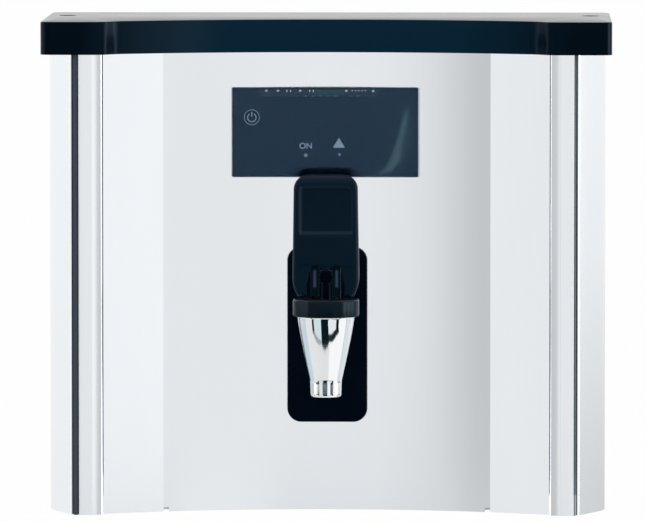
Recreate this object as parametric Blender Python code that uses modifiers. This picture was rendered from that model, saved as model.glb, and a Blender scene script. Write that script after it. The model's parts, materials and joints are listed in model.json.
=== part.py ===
# Wall mounted water boiler: folded stainless casing, moulded lid, touch display and a lever tap.
# Metres, +Z up. The wall is the plane Y = 0 and the front faces -Y. Heights below are measured from
# the casing's foot, and the whole hangs from an empty, so that the origin of the finished model is
# the point of the wall midway between the two keyholes.

import math

import bmesh
import bpy
from mathutils import Matrix, Vector

# General
GAP = 0.0003
OVERRUN = 0.0500
WELD = 0.000001
FLAT_ANGLE = 0.001
SMOOTH_ANGLE = math.radians(32)
CREASE_ANGLE = math.radians(3)
FOLD_ANGLE = math.radians(9)
LID_ANGLE = math.radians(12)
FINE_STEPS = 32
ROUND_STEPS = 20
SMALL_STEPS = 12
HOSE_SIDES = 8
ROUND_SEGMENTS = 2

# Casing
SHEET = 0.0012
BODY_WIDTH = 0.3920
CORNER_WIDTH = 0.0395
PANEL_DEPTH = 0.1210
PANEL_DISH = 0.0190
PANEL_STEPS = 16
WING_WIDTH = 0.0415
WING_STEP = 0.0175
COVER_FLANGE = 0.0140
NOTCH_WIDTH = 0.0035
NOTCH_HEIGHT = 0.0030
POST_CLEARANCE = 0.0005
POST_STEP = 0.0095
POST_STRIPE = 0.0072
POST_BEND = 0.0035
POST_FLAT = 0.0095
POST_INNER_FLANGE = 0.0135
POST_OUTER_FLANGE = 0.0120
SEAL_GAP_LEFT = 0.0043
SEAL_GAP_RIGHT = 0.0016
SEAL_RECESS = 0.0015
SEAL_DEPTH = 0.0090
SIDE_SETBACK = 0.0020
SIDE_SLANT = 0.0420
SIDE_BEND_RADIUS = 0.0500
SIDE_FLANGE = 0.0110
BACK_SHEET = 0.0015
BACK_FLANGE = 0.0140
KEYHOLE_INSET = 0.0660
KEYHOLE_DROP = 0.0432
KEYHOLE_HEAD_RADIUS = 0.0060
KEYHOLE_SLOT_RADIUS = 0.0030
KEYHOLE_RISE = 0.0120
LOWER_HOLE_HEIGHT = 0.0130
LOWER_HOLE_RADIUS = 0.0035

# Base plate
BASE_HEIGHT = 0.0260
BASE_SHEET = 0.0015
BASE_FLANGE = 0.0120
BASE_LIP = 0.0100

# Lid
LID_SKIN = 0.0030
LID_HEIGHT = 0.0231
LID_OVERHANG = 0.0030
LID_SIDE_OVERHANG = 0.0040
LID_WALL = 0.0025
LID_EDGE_ROUND = 0.0010
LID_CORNER_RADIUS = 0.0080
LID_BACK_RADIUS = 0.0090
LID_STEP_INSET = 0.0100
LID_STEP_RUN = 0.0105
LID_INNER_RADIUS = 0.0200
LID_OUTER_RADIUS = 0.0140
LID_SCREW_INSET = 0.0140
LID_SCREW_DEPTH = 0.0600
LID_BOSS_WALL = 0.0022
LID_BORE_RADIUS = 0.0060
LID_BORE_DEPTH = 0.0090
LID_BORE_FLOOR = 0.0025
SCREW_RADIUS = 0.0020
SCREW_CLEARANCE = 0.0004
SCREW_HEAD_RADIUS = 0.0040
SCREW_HEAD_HEIGHT = 0.0024
SCREW_LENGTH = 0.0110
BRACKET_SHEET = 0.0015
BRACKET_REACH = 0.0185
BRACKET_WIDTH = 0.0240
BRACKET_LEG = 0.0240

# Display
WINDOW_WIDTH = 0.1310
WINDOW_HEIGHT = 0.0634
WINDOW_THICKNESS = 0.0015
WINDOW_OFFSET = -0.0013
WINDOW_DROP = 0.0760
WINDOW_CORNER = 0.0010
OVERLAY_THICKNESS = 0.0003
STRIP_LEFT = 0.0450
STRIP_RIGHT = 0.0360
STRIP_DROP = 0.0024
STRIP_HEIGHT = 0.0039
HOUSING_WALL = 0.0012
HOUSING_RIM = 0.0060
HOUSING_RIM_THICKNESS = 0.0020
HOUSING_TAIL = 0.0060
BOARD_LEDGE = 0.0030
BOARD_LEDGE_DEPTH = 0.0022
BOARD_THICKNESS = 0.0016
BOARD_SETBACK = 0.0025

# Tap
TAP_REACH = 0.0450
SHANK_HEIGHT = 0.1241
BACKPLATE_WIDTH = 0.0560
BACKPLATE_HEIGHT = 0.1236
BACKPLATE_THICKNESS = 0.0030
BACKPLATE_CORNER = 0.0095
BACKPLATE_ROUND = 0.0012
SPOUT_DROP = 0.0401
SPOUT_RADIUS = 0.01115
SPOUT_LENGTH = 0.0143
SPOUT_LIP = 0.0008
SPOUT_BORE = 0.0070
TAPER_HEIGHT = 0.0355
TAP_RADIUS = 0.0200
TAP_BARREL = 0.0046
SEAT_STEP = 0.0006
CHAMBER_RADIUS = 0.0140
COLLAR_SEAT_RADIUS = 0.0170
COLLAR_SEAT_HEIGHT = 0.0066
NECK_RADIUS = 0.0110
NECK_BORE = 0.0055
NECK_FLANGE_RADIUS = 0.0140
NECK_FLANGE_THICKNESS = 0.0030
TAIL_RADIUS = 0.0080
TAIL_GAP = 0.0016
BONNET_RADIUS = 0.0238
BONNET_HEIGHT = 0.0137
BONNET_ROOF = 0.0051
BONNET_LOBES = 8
BONNET_SCALLOP = 0.0009
BONNET_ROUND = 0.0013
STEM_RADIUS = 0.0030
STEM_BORE_CLEARANCE = 0.0004
STEM_EYE_RADIUS = 0.0046
STEM_EYE_WIDTH = 0.0080
STEM_FOOT_RADIUS = 0.0080
STEM_FOOT_HEIGHT = 0.0020
CUP_RADIUS = 0.0125
CUP_WALL = 0.0015
CUP_FLANGE_THICKNESS = 0.0017
CUP_FLOOR = 0.0022
CUP_LIP = 0.0012
CUP_TAPER = 0.0030
CUP_SLACK = 0.0005
TAP_SPRING_RADIUS = 0.0082
TAP_SPRING_WIRE = 0.0008
TAP_SPRING_TURNS = 4
PIN_RADIUS = 0.0015
PIN_CLEARANCE = 0.0003
STEM_LIFT = 0.0030
LEVER_SWING = math.radians(35)

# Lever, measured from its pin
CAM_RADIUS = 0.0145
CAM_WIDTH = 0.0058
CAM_SPACING = 0.0150
CAM_RUNNING_GAP = 0.0004
CAM_START = math.radians(-32)
CAM_END = math.radians(46)
CAM_FRONT = 0.0106
CAM_BACK = 0.0070
CAM_ROUND = 0.0014
CAM_RIB_HEIGHT = 0.0340
LEVER_TOP = 0.0719
LEVER_TOP_WIDTH = 0.0446
LEVER_FOOT_WIDTH = 0.0464
LEVER_FOOT_INSET = 0.0042
LEVER_FOOT_TRIM = 0.0014
LEVER_CORNER = 0.0100
LEVER_CROWN = 0.0065
LEVER_FRONT = 0.0135
LEVER_BACK_FOOT = 0.0115
LEVER_THICKNESS = 0.0075
LEVER_EDGE = 0.0034
LEVER_WALL = 0.0028
ARCH_WIDTH = 0.0266
ARCH_HEIGHT = 0.0090
ARCH_WEB_HEIGHT = 0.0048
ARCH_LOBE_RADIUS = 0.0042
ARCH_LOBE_SPACING = 0.0140
PAD_WIDTH = 0.0370
PAD_BOTTOM = 0.0306
PAD_HEIGHT = 0.0332
PAD_RECESS = 0.0009
PAD_CORNER = 0.0030
WASHER_THICKNESS = 0.0020
NUT_FLATS = 0.0300
NUT_THICKNESS = 0.0055
SLEEVE_WALL = 0.0027
SLEEVE_LENGTH = 0.0195

# Tank
TANK_WIDTH = 0.1840
TANK_FRONT_CLEARANCE = 0.0310
TANK_BACK_CLEARANCE = 0.0220
TANK_BOTTOM = 0.0920
TANK_HEIGHT = 0.1960
TANK_HEADROOM = 0.0552
TANK_WALL = 0.0015
TANK_CORNER = 0.0140
TANK_FLANGE = 0.0080
TANK_FLANGE_THICKNESS = 0.0015
TANK_GASKET = 0.0014
TANK_LID_THICKNESS = 0.0020
JACKET_CLEARANCE = 0.0020
OUTLET_STUB = 0.0100
JACKET_HOLE_CLEARANCE = 0.0040
TANK_FOOT_INSET = 0.0145
TANK_FOOT_WIDTH = 0.0240
TANK_FOOT_SHEET = 0.0020
TANK_FOOT_LEG = 0.0300
SPIGOT_RADIUS = 0.0048
SPIGOT_BORE = 0.0034
SPIGOT_HEIGHT = 0.0120

# Heating element
ELEMENT_INSET = 0.0520
ELEMENT_FLANGE_RADIUS = 0.0240
ELEMENT_FLANGE_THICKNESS = 0.0040
ELEMENT_GASKET = 0.0015
ELEMENT_BOSS_RADIUS = 0.0160
ELEMENT_BOSS_HEIGHT = 0.0120
ELEMENT_CLEARANCE = 0.0004
ELEMENT_NUT_FLATS = 0.0400
ELEMENT_NUT_THICKNESS = 0.0045
ELEMENT_TUBE_RADIUS = 0.0035
ELEMENT_LEG_SPACING = 0.0130
ELEMENT_LOOP_SPACING = 0.0170
ELEMENT_LOOP_HEIGHT = 0.1250
ELEMENT_TAG_HEIGHT = 0.0140
ELEMENT_TAG_WIDTH = 0.0063
ELEMENT_TAG_THICKNESS = 0.0008

# Probes
PROBE_BLOCK_PITCH = 0.0420
PROBE_BLOCK_LENGTH = 0.0440
PROBE_BLOCK_WIDTH = 0.0160
PROBE_BLOCK_HEIGHT = 0.0120
PROBE_SPACING = 0.0140
PROBE_RADIUS = 0.0015
PROBE_STICK = 0.0080
PROBE_CLEARANCE = 0.0003
PROBE_SHORT = 0.0200
PROBE_STEP = 0.0450
SENSOR_INSET = 0.0200
SENSOR_RADIUS = 0.0030
SENSOR_LENGTH = 0.1100
SENSOR_HEX = 0.0110
SENSOR_HEX_HEIGHT = 0.0050

# Inlet valve
VALVE_OFFSET = 0.0020
VALVE_DEPTH = 0.0600
INLET_RADIUS = 0.01322
INLET_BORE = 0.0090
INLET_DROP = 0.0220
INLET_HOLE_CLEARANCE = 0.0006
VALVE_FLANGE_RADIUS = 0.0175
VALVE_FLANGE_THICKNESS = 0.0040
VALVE_BODY_RADIUS = 0.0140
VALVE_BODY_HEIGHT = 0.0300
VALVE_SEAT_HEIGHT = 0.0180
VALVE_SEAT_THICKNESS = 0.0030
VALVE_SEAT_BORE = 0.0025
VALVE_ROOM_RADIUS = 0.0095
VALVE_ROOM_HEIGHT = 0.0065
GUIDE_RADIUS = 0.0060
GUIDE_BORE = 0.0043
GUIDE_HEIGHT = 0.0340
GUIDE_CAP = 0.0020
PLUNGER_CLEARANCE = 0.0003
PLUNGER_LENGTH = 0.0270
PLUNGER_LIFT = 0.0025
VALVE_SPRING_WIRE = 0.0005
VALVE_SPRING_TURNS = 4
COIL_LENGTH = 0.0340
COIL_WIDTH = 0.0280
COIL_ROUND = 0.0030
BARB_RADIUS = 0.0050
BARB_BORE = 0.0034
BARB_LENGTH = 0.0140
HOSE_WALL = 0.0022

# Pipes through the base
VENT_SIDE_INSET = 0.0070
VENT_REAR_INSET = 0.0180
VENT_DROP_CLEARANCE = 0.0240
VENT_DROP_DEPTH = 0.0320
DRAIN_X = 0.0450
DRAIN_RADIUS = 0.0075
DRAIN_BORE = 0.0050
DRAIN_DROP = 0.0120
DRAIN_PLUG_RADIUS = 0.0100
DRAIN_PLUG_HEIGHT = 0.0090
DRAIN_PLUG_GRIP = 0.0040
PIPE_DROP = 0.0100
PIPE_HOLE_CLEARANCE = 0.0006
FILL_SIDE_INSET = 0.0320
FILL_FRONT_INSET = 0.0200

# Thermal cut-out
CUTOUT_X = 0.0950
CUTOUT_DEPTH = 0.0600
CUTOUT_LENGTH = 0.0340
CUTOUT_WIDTH = 0.0220
CUTOUT_HEIGHT = 0.0240
CUTOUT_ROUND = 0.0015
BUSHING_RADIUS = 0.0050
BUSHING_DROP = 0.0080
BUSHING_HOLE_CLEARANCE = 0.0004
RESET_RADIUS = 0.0029
RESET_CLEARANCE = 0.0003
RESET_STICK = 0.0035
RESET_LENGTH = 0.0170
RESET_TRAVEL = 0.0020
RESET_ROOM = 0.0055
RESET_SPRING_WIRE = 0.0004
RESET_SPRING_TURNS = 3

# Electrics
GLAND_OFFSET = 0.0020
GLAND_DEPTH = 0.0500
GLAND_RADIUS = 0.0100
GLAND_BORE = 0.0055
GLAND_FLANGE_RADIUS = 0.0130
GLAND_CAP_HEIGHT = 0.0120
GLAND_STEM_HEIGHT = 0.0120
GLAND_HOLE_CLEARANCE = 0.0004
CARRIER_SHEET = 0.0015
CARRIER_OFFSET = 0.0060
CARRIER_LENGTH = 0.0780
CARRIER_CLEARANCE = 0.0020
CARRIER_BOTTOM = 0.0800
CARRIER_HEIGHT = 0.2150
CARRIER_LIP = 0.0080
MAIN_BOARD_LENGTH = 0.0720
MAIN_BOARD_HEIGHT = 0.1200
MAIN_BOARD_THICKNESS = 0.0016
MAIN_BOARD_RAISE = 0.0800
MAIN_BOARD_STANDOFF = 0.0060
STANDOFF_RADIUS = 0.0030
STANDOFF_INSET = 0.0060
TERMINAL_LENGTH = 0.0480
TERMINAL_HEIGHT = 0.0220
TERMINAL_WIDTH = 0.0160
TERMINAL_RAISE = 0.0250
TERMINAL_ROUND = 0.0010
TERMINAL_WAYS = 3
TERMINAL_BORE = 0.0025

# Worked out from the sizes above
BODY_HALF = BODY_WIDTH / 2
WING_END = BODY_HALF - CORNER_WIDTH
PANEL_HALF = WING_END - WING_WIDTH
PANEL_RADIUS = (PANEL_HALF ** 2 + PANEL_DISH ** 2) / (2 * PANEL_DISH)
SEAM_DEPTH = PANEL_DEPTH + PANEL_DISH
WING_DEPTH = SEAM_DEPTH + WING_STEP
POST_DEPTH = WING_DEPTH + POST_STEP
SIDE_FRONT_DEPTH = POST_DEPTH - SIDE_SETBACK
SIDE_SLANT_DEPTH = SIDE_FRONT_DEPTH - SIDE_SLANT
POST_INNER = WING_END + POST_CLEARANCE
POST_CREASE = POST_INNER + POST_STRIPE
POST_OUTER = POST_CREASE + POST_FLAT
TANK_TOP = TANK_BOTTOM + TANK_HEIGHT
BODY_TOP = TANK_TOP + TANK_HEADROOM
KEYHOLE_HEIGHT = BODY_TOP - KEYHOLE_DROP
WINDOW_CENTRE_HEIGHT = BODY_TOP - WINDOW_DROP
LID_TOP = BODY_TOP + GAP + LID_SKIN
LID_BOTTOM = LID_TOP - LID_HEIGHT
LID_HALF = BODY_HALF + LID_SIDE_OVERHANG
LID_FRONT = POST_DEPTH + LID_OVERHANG
BASE_TOP = BASE_HEIGHT + BASE_SHEET
TAP_DEPTH = PANEL_DEPTH + TAP_REACH
SPOUT_BOTTOM = SHANK_HEIGHT - SPOUT_DROP
SPOUT_TOP = SPOUT_BOTTOM + SPOUT_LENGTH
TAPER_TOP = SPOUT_TOP + TAPER_HEIGHT
TAP_SHOULDER = TAPER_TOP + TAP_BARREL
SEAT_HEIGHT = SHANK_HEIGHT - NECK_BORE - SEAT_STEP
COLLAR_SEAT_TOP = TAP_SHOULDER + COLLAR_SEAT_HEIGHT
BONNET_BOTTOM = TAP_SHOULDER + GAP
BONNET_TOP = BONNET_BOTTOM + BONNET_HEIGHT
BONNET_CEILING = BONNET_TOP - BONNET_ROOF
CAM_RISE = STEM_LIFT / LEVER_SWING
TANK_REAR = TANK_BACK_CLEARANCE
TANK_FRONT = PANEL_DEPTH - TANK_FRONT_CLEARANCE
TANK_MIDDLE = (TANK_FRONT + TANK_REAR) / 2
VENT_DEPTH = TANK_REAR + VENT_REAR_INSET
FILL_DEPTH = TANK_FRONT - FILL_FRONT_INSET
VENT_X = VENT_SIDE_INSET - TANK_WIDTH / 2
FILL_X = FILL_SIDE_INSET - TANK_WIDTH / 2
ELEMENT_X = ELEMENT_INSET - TANK_WIDTH / 2
SENSOR_X = TANK_WIDTH / 2 - SENSOR_INSET
PROBE_BLOCK_X = SENSOR_X - PROBE_BLOCK_PITCH
TANK_LID_BOTTOM = TANK_TOP + TANK_GASKET + 2 * GAP
TANK_LID_TOP = TANK_LID_BOTTOM + TANK_LID_THICKNESS
JACKET_HALF = TANK_WIDTH / 2 + TANK_FLANGE
SIDE_BAY = (BODY_HALF + JACKET_HALF) / 2
VALVE_X = -SIDE_BAY - VALVE_OFFSET
GLAND_X = SIDE_BAY + GLAND_OFFSET
VENT_DROP_X = -JACKET_HALF - VENT_DROP_CLEARANCE
CARRIER_BACK = BACK_FLANGE + CARRIER_LIP + CARRIER_CLEARANCE
MAIN_BOARD_BOTTOM = CARRIER_BOTTOM + MAIN_BOARD_RAISE
TERMINAL_BOTTOM = CARRIER_BOTTOM + TERMINAL_RAISE
HOSE_FACET = 1 / math.cos(math.pi / HOSE_SIDES)
VENT_BORE = (SPIGOT_RADIUS + GAP) * HOSE_FACET
VENT_RADIUS = VENT_BORE + HOSE_WALL
FILL_BORE = (BARB_RADIUS + GAP) * HOSE_FACET
FILL_RADIUS = FILL_BORE + HOSE_WALL

PARTS = None
TOOLS = None
ROOT = None
AXIS_FRAMES = {
    "X": Matrix(((0, 0, 1), (1, 0, 0), (0, 1, 0))),
    "Y": Matrix(((1, 0, 0), (0, 0, -1), (0, 1, 0))),
    "Z": Matrix.Identity(3),
}
AXIS_SIGNS = {"X": 1, "Y": -1, "Z": 1}
CROWN_SHARES = [0, 0.2, 0.4, 0.6, 0.8, 0.97]

# Colour, roughness, metallic
PALETTE = {
    "stainless": ((0.74, 0.76, 0.78), 0.32, 1.0),
    "lid_black": ((0.006, 0.012, 0.022), 0.10, 0.0),
    "seal_rubber": ((0.020, 0.035, 0.055), 0.70, 0.0),
    "window_glass": ((0.030, 0.050, 0.070), 0.05, 0.0),
    "overlay_film": ((0.018, 0.036, 0.056), 0.35, 0.0),
    "black_plastic": ((0.008, 0.014, 0.020), 0.30, 0.0),
    "circuit_board": ((0.010, 0.140, 0.070), 0.45, 0.0),
    "chrome": ((0.86, 0.88, 0.90), 0.06, 1.0),
    "steel": ((0.60, 0.61, 0.62), 0.28, 1.0),
    "silicone": ((0.72, 0.72, 0.70), 0.50, 0.0),
    "insulation": ((0.10, 0.10, 0.11), 0.90, 0.0),
    "zinc": ((0.62, 0.63, 0.65), 0.40, 1.0),
    "white_nylon": ((0.80, 0.80, 0.77), 0.45, 0.0),
    "coil_black": ((0.020, 0.020, 0.022), 0.45, 0.0),
    "brass": ((0.72, 0.56, 0.28), 0.30, 1.0),
    "red_plastic": ((0.60, 0.03, 0.02), 0.35, 0.0),
}


# Scene and objects

def clear_scene():
    for thing in list(bpy.data.objects):
        bpy.data.objects.remove(thing, do_unlink=True)


def new_collection(name):
    group = bpy.data.collections.new(name)
    bpy.context.scene.collection.children.link(group)
    return group


def finish_for(name):
    found = bpy.data.materials.get(name)
    if found:
        return found
    colour, roughness, metallic = PALETTE[name]
    finish = bpy.data.materials.new(name)
    finish.use_nodes = True
    shader = finish.node_tree.nodes["Principled BSDF"]
    shader.inputs["Base Color"].default_value = (*colour, 1.0)
    shader.inputs["Roughness"].default_value = roughness
    shader.inputs["Metallic"].default_value = metallic
    finish.diffuse_color = (*colour, 1.0)
    return finish


def home_at(name, x, y, z, parent=None):
    """An empty that carries the pieces of one assembly."""
    home = bpy.data.objects.new(name, None)
    home.location = (x, y, z)
    home.parent = parent or ROOT
    PARTS.objects.link(home)
    return home


def piece(name, data, finish, home=None):
    """A named part of the boiler."""
    thing = bpy.data.objects.new(name, data)
    thing.parent = home or ROOT
    data.name = name
    data.materials.append(finish_for(finish))
    PARTS.objects.link(thing)
    return thing


def tool(data, home=None):
    """A shape that only cuts or joins."""
    thing = bpy.data.objects.new("tool", data)
    thing.parent = home or ROOT
    thing.hide_render = True
    thing.display_type = "WIRE"
    TOOLS.objects.link(thing)
    return thing


def combine(target, operation, others):
    for other in others:
        step = target.modifiers.new(operation.lower(), "BOOLEAN")
        step.operation = operation
        step.solver = "EXACT"
        step.object = other


def cut(target, *others):
    combine(target, "DIFFERENCE", others)


def join(target, *others):
    combine(target, "UNION", others)


# Shapes

def finish_mesh(shape, name, smooth_angle=SMOOTH_ANGLE):
    data = bpy.data.meshes.new(name)
    shape.to_mesh(data)
    shape.free()
    data.shade_smooth()
    data.set_sharp_from_angle(angle=smooth_angle)
    return data


def curve_to_mesh(curve):
    """The solid of a curve, welded, as a mesh of its own."""
    holder = bpy.data.objects.new("holder", curve)
    bpy.context.scene.collection.objects.link(holder)
    graph = bpy.context.evaluated_depsgraph_get()
    data = bpy.data.meshes.new_from_object(holder.evaluated_get(graph))
    bpy.data.objects.remove(holder, do_unlink=True)
    shape = bmesh.new()
    shape.from_mesh(data)
    bpy.data.meshes.remove(data)
    bmesh.ops.remove_doubles(shape, verts=shape.verts, dist=WELD)
    return shape


def outline(points, low, high, axis="Z", rounding=0, round_low=True, round_high=True,
            smooth_angle=SMOOTH_ANGLE):
    """A flat outline drawn as a curve, filled and extruded along an axis."""
    curve = bpy.data.curves.new("outline", "CURVE")
    curve.dimensions = "2D"
    curve.fill_mode = "BOTH"
    curve.extrude = (high - low) / 2
    line = curve.splines.new("POLY")
    line.points.add(len(points) - 1)
    for slot, (u, v) in zip(line.points, points):
        slot.co = (u, v, 0, 1)
    line.use_cyclic_u = True
    shape = curve_to_mesh(curve)
    bmesh.ops.dissolve_limit(shape, angle_limit=FLAT_ANGLE, verts=shape.verts, edges=shape.edges)
    bmesh.ops.recalc_face_normals(shape, faces=shape.faces)
    if rounding:
        sign = AXIS_SIGNS[axis]
        rims = []
        for edge in shape.edges:
            heights = [sign * corner.co.z for corner in edge.verts]
            if round_high and min(heights) > 0:
                rims.append(edge)
            if round_low and max(heights) < 0:
                rims.append(edge)
        bmesh.ops.bevel(shape, geom=rims, offset=rounding, offset_type="OFFSET", segments=ROUND_SEGMENTS,
                        profile=0.5, affect="EDGES")
    middle = Vector((0, 0, AXIS_SIGNS[axis] * (low + high) / 2))
    bmesh.ops.translate(shape, verts=shape.verts, vec=middle)
    bmesh.ops.transform(shape, matrix=AXIS_FRAMES[axis].to_4x4(), verts=shape.verts)
    return finish_mesh(shape, "outline", smooth_angle)


def box(x_range, y_range, z_range):
    shape = bmesh.new()
    bmesh.ops.create_cube(shape, size=1)
    spans = [x_range, y_range, z_range]
    bmesh.ops.scale(shape, verts=shape.verts, vec=[high - low for low, high in spans])
    bmesh.ops.translate(shape, verts=shape.verts, vec=[(high + low) / 2 for low, high in spans])
    return finish_mesh(shape, "box")


def rod(radius, low, high, axis="Z", u=0, v=0, steps=ROUND_STEPS, top_radius=None):
    """A cylinder or cone along an axis, through the point (u, v) of the other two."""
    shape = bmesh.new()
    sign = AXIS_SIGNS[axis]
    radii = [radius, radius if top_radius is None else top_radius]
    if sign < 0:
        radii.reverse()
    bmesh.ops.create_cone(shape, cap_ends=True, segments=steps, radius1=radii[0],
                          radius2=radii[1], depth=high - low)
    bmesh.ops.translate(shape, verts=shape.verts, vec=(u, v, sign * (low + high) / 2))
    bmesh.ops.transform(shape, matrix=AXIS_FRAMES[axis].to_4x4(), verts=shape.verts)
    return finish_mesh(shape, "rod")


def profile_mesh(points, closed=False):
    """The edges of a turned shape's profile, as (radius, height) pairs."""
    data = bpy.data.meshes.new("profile")
    corners = [(radius, 0, height) for radius, height in points]
    edges = [(index, index + 1) for index in range(len(corners) - 1)]
    if closed:
        edges.append((len(corners) - 1, 0))
    data.from_pydata(corners, edges, [])
    return data


def turn(target, steps=ROUND_STEPS):
    """Turns the profile that the object holds into a solid of revolution."""
    step = target.modifiers.new("turn", "SCREW")
    step.axis = "Z"
    step.angle = 2 * math.pi
    step.steps = steps
    step.render_steps = steps
    step.use_merge_vertices = True
    step.merge_threshold = WELD
    step.use_smooth_shade = True
    return target


def tube(points, radius, detail=2):
    """A round tube along a route, with filled ends."""
    curve = bpy.data.curves.new("tube", "CURVE")
    curve.dimensions = "3D"
    curve.bevel_depth = radius
    curve.bevel_resolution = detail
    curve.use_fill_caps = True
    line = curve.splines.new("POLY")
    line.points.add(len(points) - 1)
    for slot, spot in zip(line.points, points):
        slot.co = (*spot, 1)
    return curve


def solid_tube(points, radius, detail=2):
    """The same tube as a welded mesh, which other solids can cut or join."""
    shape = curve_to_mesh(tube(points, radius, detail))
    bmesh.ops.recalc_face_normals(shape, faces=shape.faces)
    return finish_mesh(shape, "tube")


def loft(rings):
    """A closed solid through a stack of rings with equal numbers of points."""
    shape = bmesh.new()
    rows = [[shape.verts.new(spot) for spot in ring] for ring in rings]
    for low, high in zip(rows, rows[1:]):
        for index in range(len(low)):
            after = (index + 1) % len(low)
            shape.faces.new((low[index], low[after], high[after], high[index]))
    shape.faces.new(list(reversed(rows[0])))
    shape.faces.new(rows[-1])
    bmesh.ops.recalc_face_normals(shape, faces=shape.faces)
    return finish_mesh(shape, "loft")


# Outlines

def arc(cx, cy, radius, start, end, steps):
    """Points along an arc, angles in radians."""
    turn_by = (end - start) / steps
    angles = [start + turn_by * index for index in range(steps + 1)]
    return [(cx + radius * math.cos(a), cy + radius * math.sin(a)) for a in angles]


def rounded(corners, radii, steps=6):
    """A closed outline whose corners are rounded by their own radii."""
    points = []
    count = len(corners)
    for index in range(count):
        here = Vector(corners[index])
        before = (Vector(corners[index - 1]) - here).normalized()
        after = (Vector(corners[(index + 1) % count]) - here).normalized()
        radius = radii[index]
        if not radius:
            points.append(tuple(here))
            continue
        half = before.angle(after) / 2
        centre = here + (before + after).normalized() * radius / math.sin(half)
        first = here + before * radius / math.tan(half) - centre
        last = here + after * radius / math.tan(half) - centre
        sweep = first.angle_signed(last)
        for share in range(steps + 1):
            spoke = first.copy()
            spoke.rotate(Matrix.Rotation(-sweep * share / steps, 2))
            points.append(tuple(centre + spoke))
    return points


def rectangle(x_range, y_range, radius=0, steps=4):
    corners = [(x_range[0], y_range[0]), (x_range[1], y_range[0]),
               (x_range[1], y_range[1]), (x_range[0], y_range[1])]
    return rounded(corners, [radius] * 4, steps)


def hexagon(flats, cx=0, cy=0):
    radius = flats / math.sqrt(3)
    return arc(cx, cy, radius, 0, 2 * math.pi, 6)[:-1]


def shifted(points, distance, closed=False):
    """The path moved to its left by a distance, with mitred corners."""
    spots = [Vector(point) for point in points]
    count = len(spots)
    moved = []
    for index, here in enumerate(spots):
        sides = []
        if closed or index > 0:
            sides.append((here - spots[index - 1]).normalized())
        if closed or index < count - 1:
            sides.append((spots[(index + 1) % count] - here).normalized())
        normals = [Vector((-side.y, side.x)) for side in sides]
        mitre = sum(normals, Vector((0, 0))).normalized()
        moved.append(tuple(here + mitre * distance / mitre.dot(normals[0])))
    return moved


def band(path, near, far):
    """The closed strip between two distances to the left of a path."""
    return shifted(path, near) + list(reversed(shifted(path, far)))


def stretched(path, extra):
    """The path with both ends run on in line."""
    first, second = Vector(path[0]), Vector(path[1])
    last, before = Vector(path[-1]), Vector(path[-2])
    start = first + (first - second).normalized() * extra
    end = last + (last - before).normalized() * extra
    return [tuple(start)] + list(path[1:-1]) + [tuple(end)]


def mirrored(path):
    return [(-x, y) for x, y in reversed(path)]


def bent_route(corners, radius, steps=5):
    """A pipe's centre line: straight runs joined by bends of one radius."""
    route = [tuple(corners[0])]
    for before, here, after in zip(corners, corners[1:], corners[2:]):
        corner = Vector(here)
        back = (Vector(before) - corner).normalized()
        ahead = (Vector(after) - corner).normalized()
        half = back.angle(ahead) / 2
        centre = corner + (back + ahead).normalized() * radius / math.sin(half)
        first = corner + back * radius / math.tan(half) - centre
        last = corner + ahead * radius / math.tan(half) - centre
        for step in range(steps + 1):
            spoke = first.normalized().slerp(last.normalized(), step / steps)
            route.append(tuple(centre + spoke * first.length))
    route.append(tuple(corners[-1]))
    return route


def coil_route(radius, low, high, turns, wire, points_per_turn=10):
    """A compression spring's centre line, standing on its end faces."""
    bottom = low + wire
    rise = high - low - 2 * wire
    count = turns * points_per_turn
    route = []
    for index in range(count + 1):
        angle = 2 * math.pi * index / points_per_turn
        route.append((radius * math.cos(angle), radius * math.sin(angle), bottom + rise * index / count))
    gap = rise / turns - 2 * wire
    print("spring gap between turns, mm:", round(gap * 1000, 2))
    return route


def panel_depth(x):
    """Distance of the concave panel's outer face from the wall."""
    return PANEL_DEPTH + PANEL_RADIUS - math.sqrt(PANEL_RADIUS ** 2 - x ** 2)


def cover_path():
    half_angle = math.asin(PANEL_HALF / PANEL_RADIUS)
    start = math.pi / 2 + half_angle
    end = math.pi / 2 - half_angle
    middle = arc(0, -PANEL_DEPTH - PANEL_RADIUS, PANEL_RADIUS, start, end, PANEL_STEPS)
    return [(-WING_END, -WING_DEPTH)] + middle + [(WING_END, -WING_DEPTH)]


def post_path():
    front = -POST_DEPTH
    shoulder = front + POST_BEND
    return [(POST_INNER, shoulder + POST_INNER_FLANGE), (POST_INNER, shoulder),
            (POST_CREASE, front), (POST_OUTER, front), (POST_OUTER, front + POST_OUTER_FLANGE)]


def side_angle(seal_gap):
    run = BODY_HALF - POST_OUTER - seal_gap
    return math.atan2(run, SIDE_FRONT_DEPTH - SIDE_SLANT_DEPTH)


def side_path(seal_gap):
    edge = POST_OUTER + seal_gap
    angle = side_angle(seal_gap)
    reach = SIDE_BEND_RADIUS * math.tan(angle / 2)
    bend = arc(BODY_HALF - SIDE_BEND_RADIUS, reach - SIDE_SLANT_DEPTH, SIDE_BEND_RADIUS, -angle, 0, 8)
    return [(edge, SIDE_FLANGE - SIDE_FRONT_DEPTH), (edge, -SIDE_FRONT_DEPTH)] + bend + [(BODY_HALF, 0)]


# Casing

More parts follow.
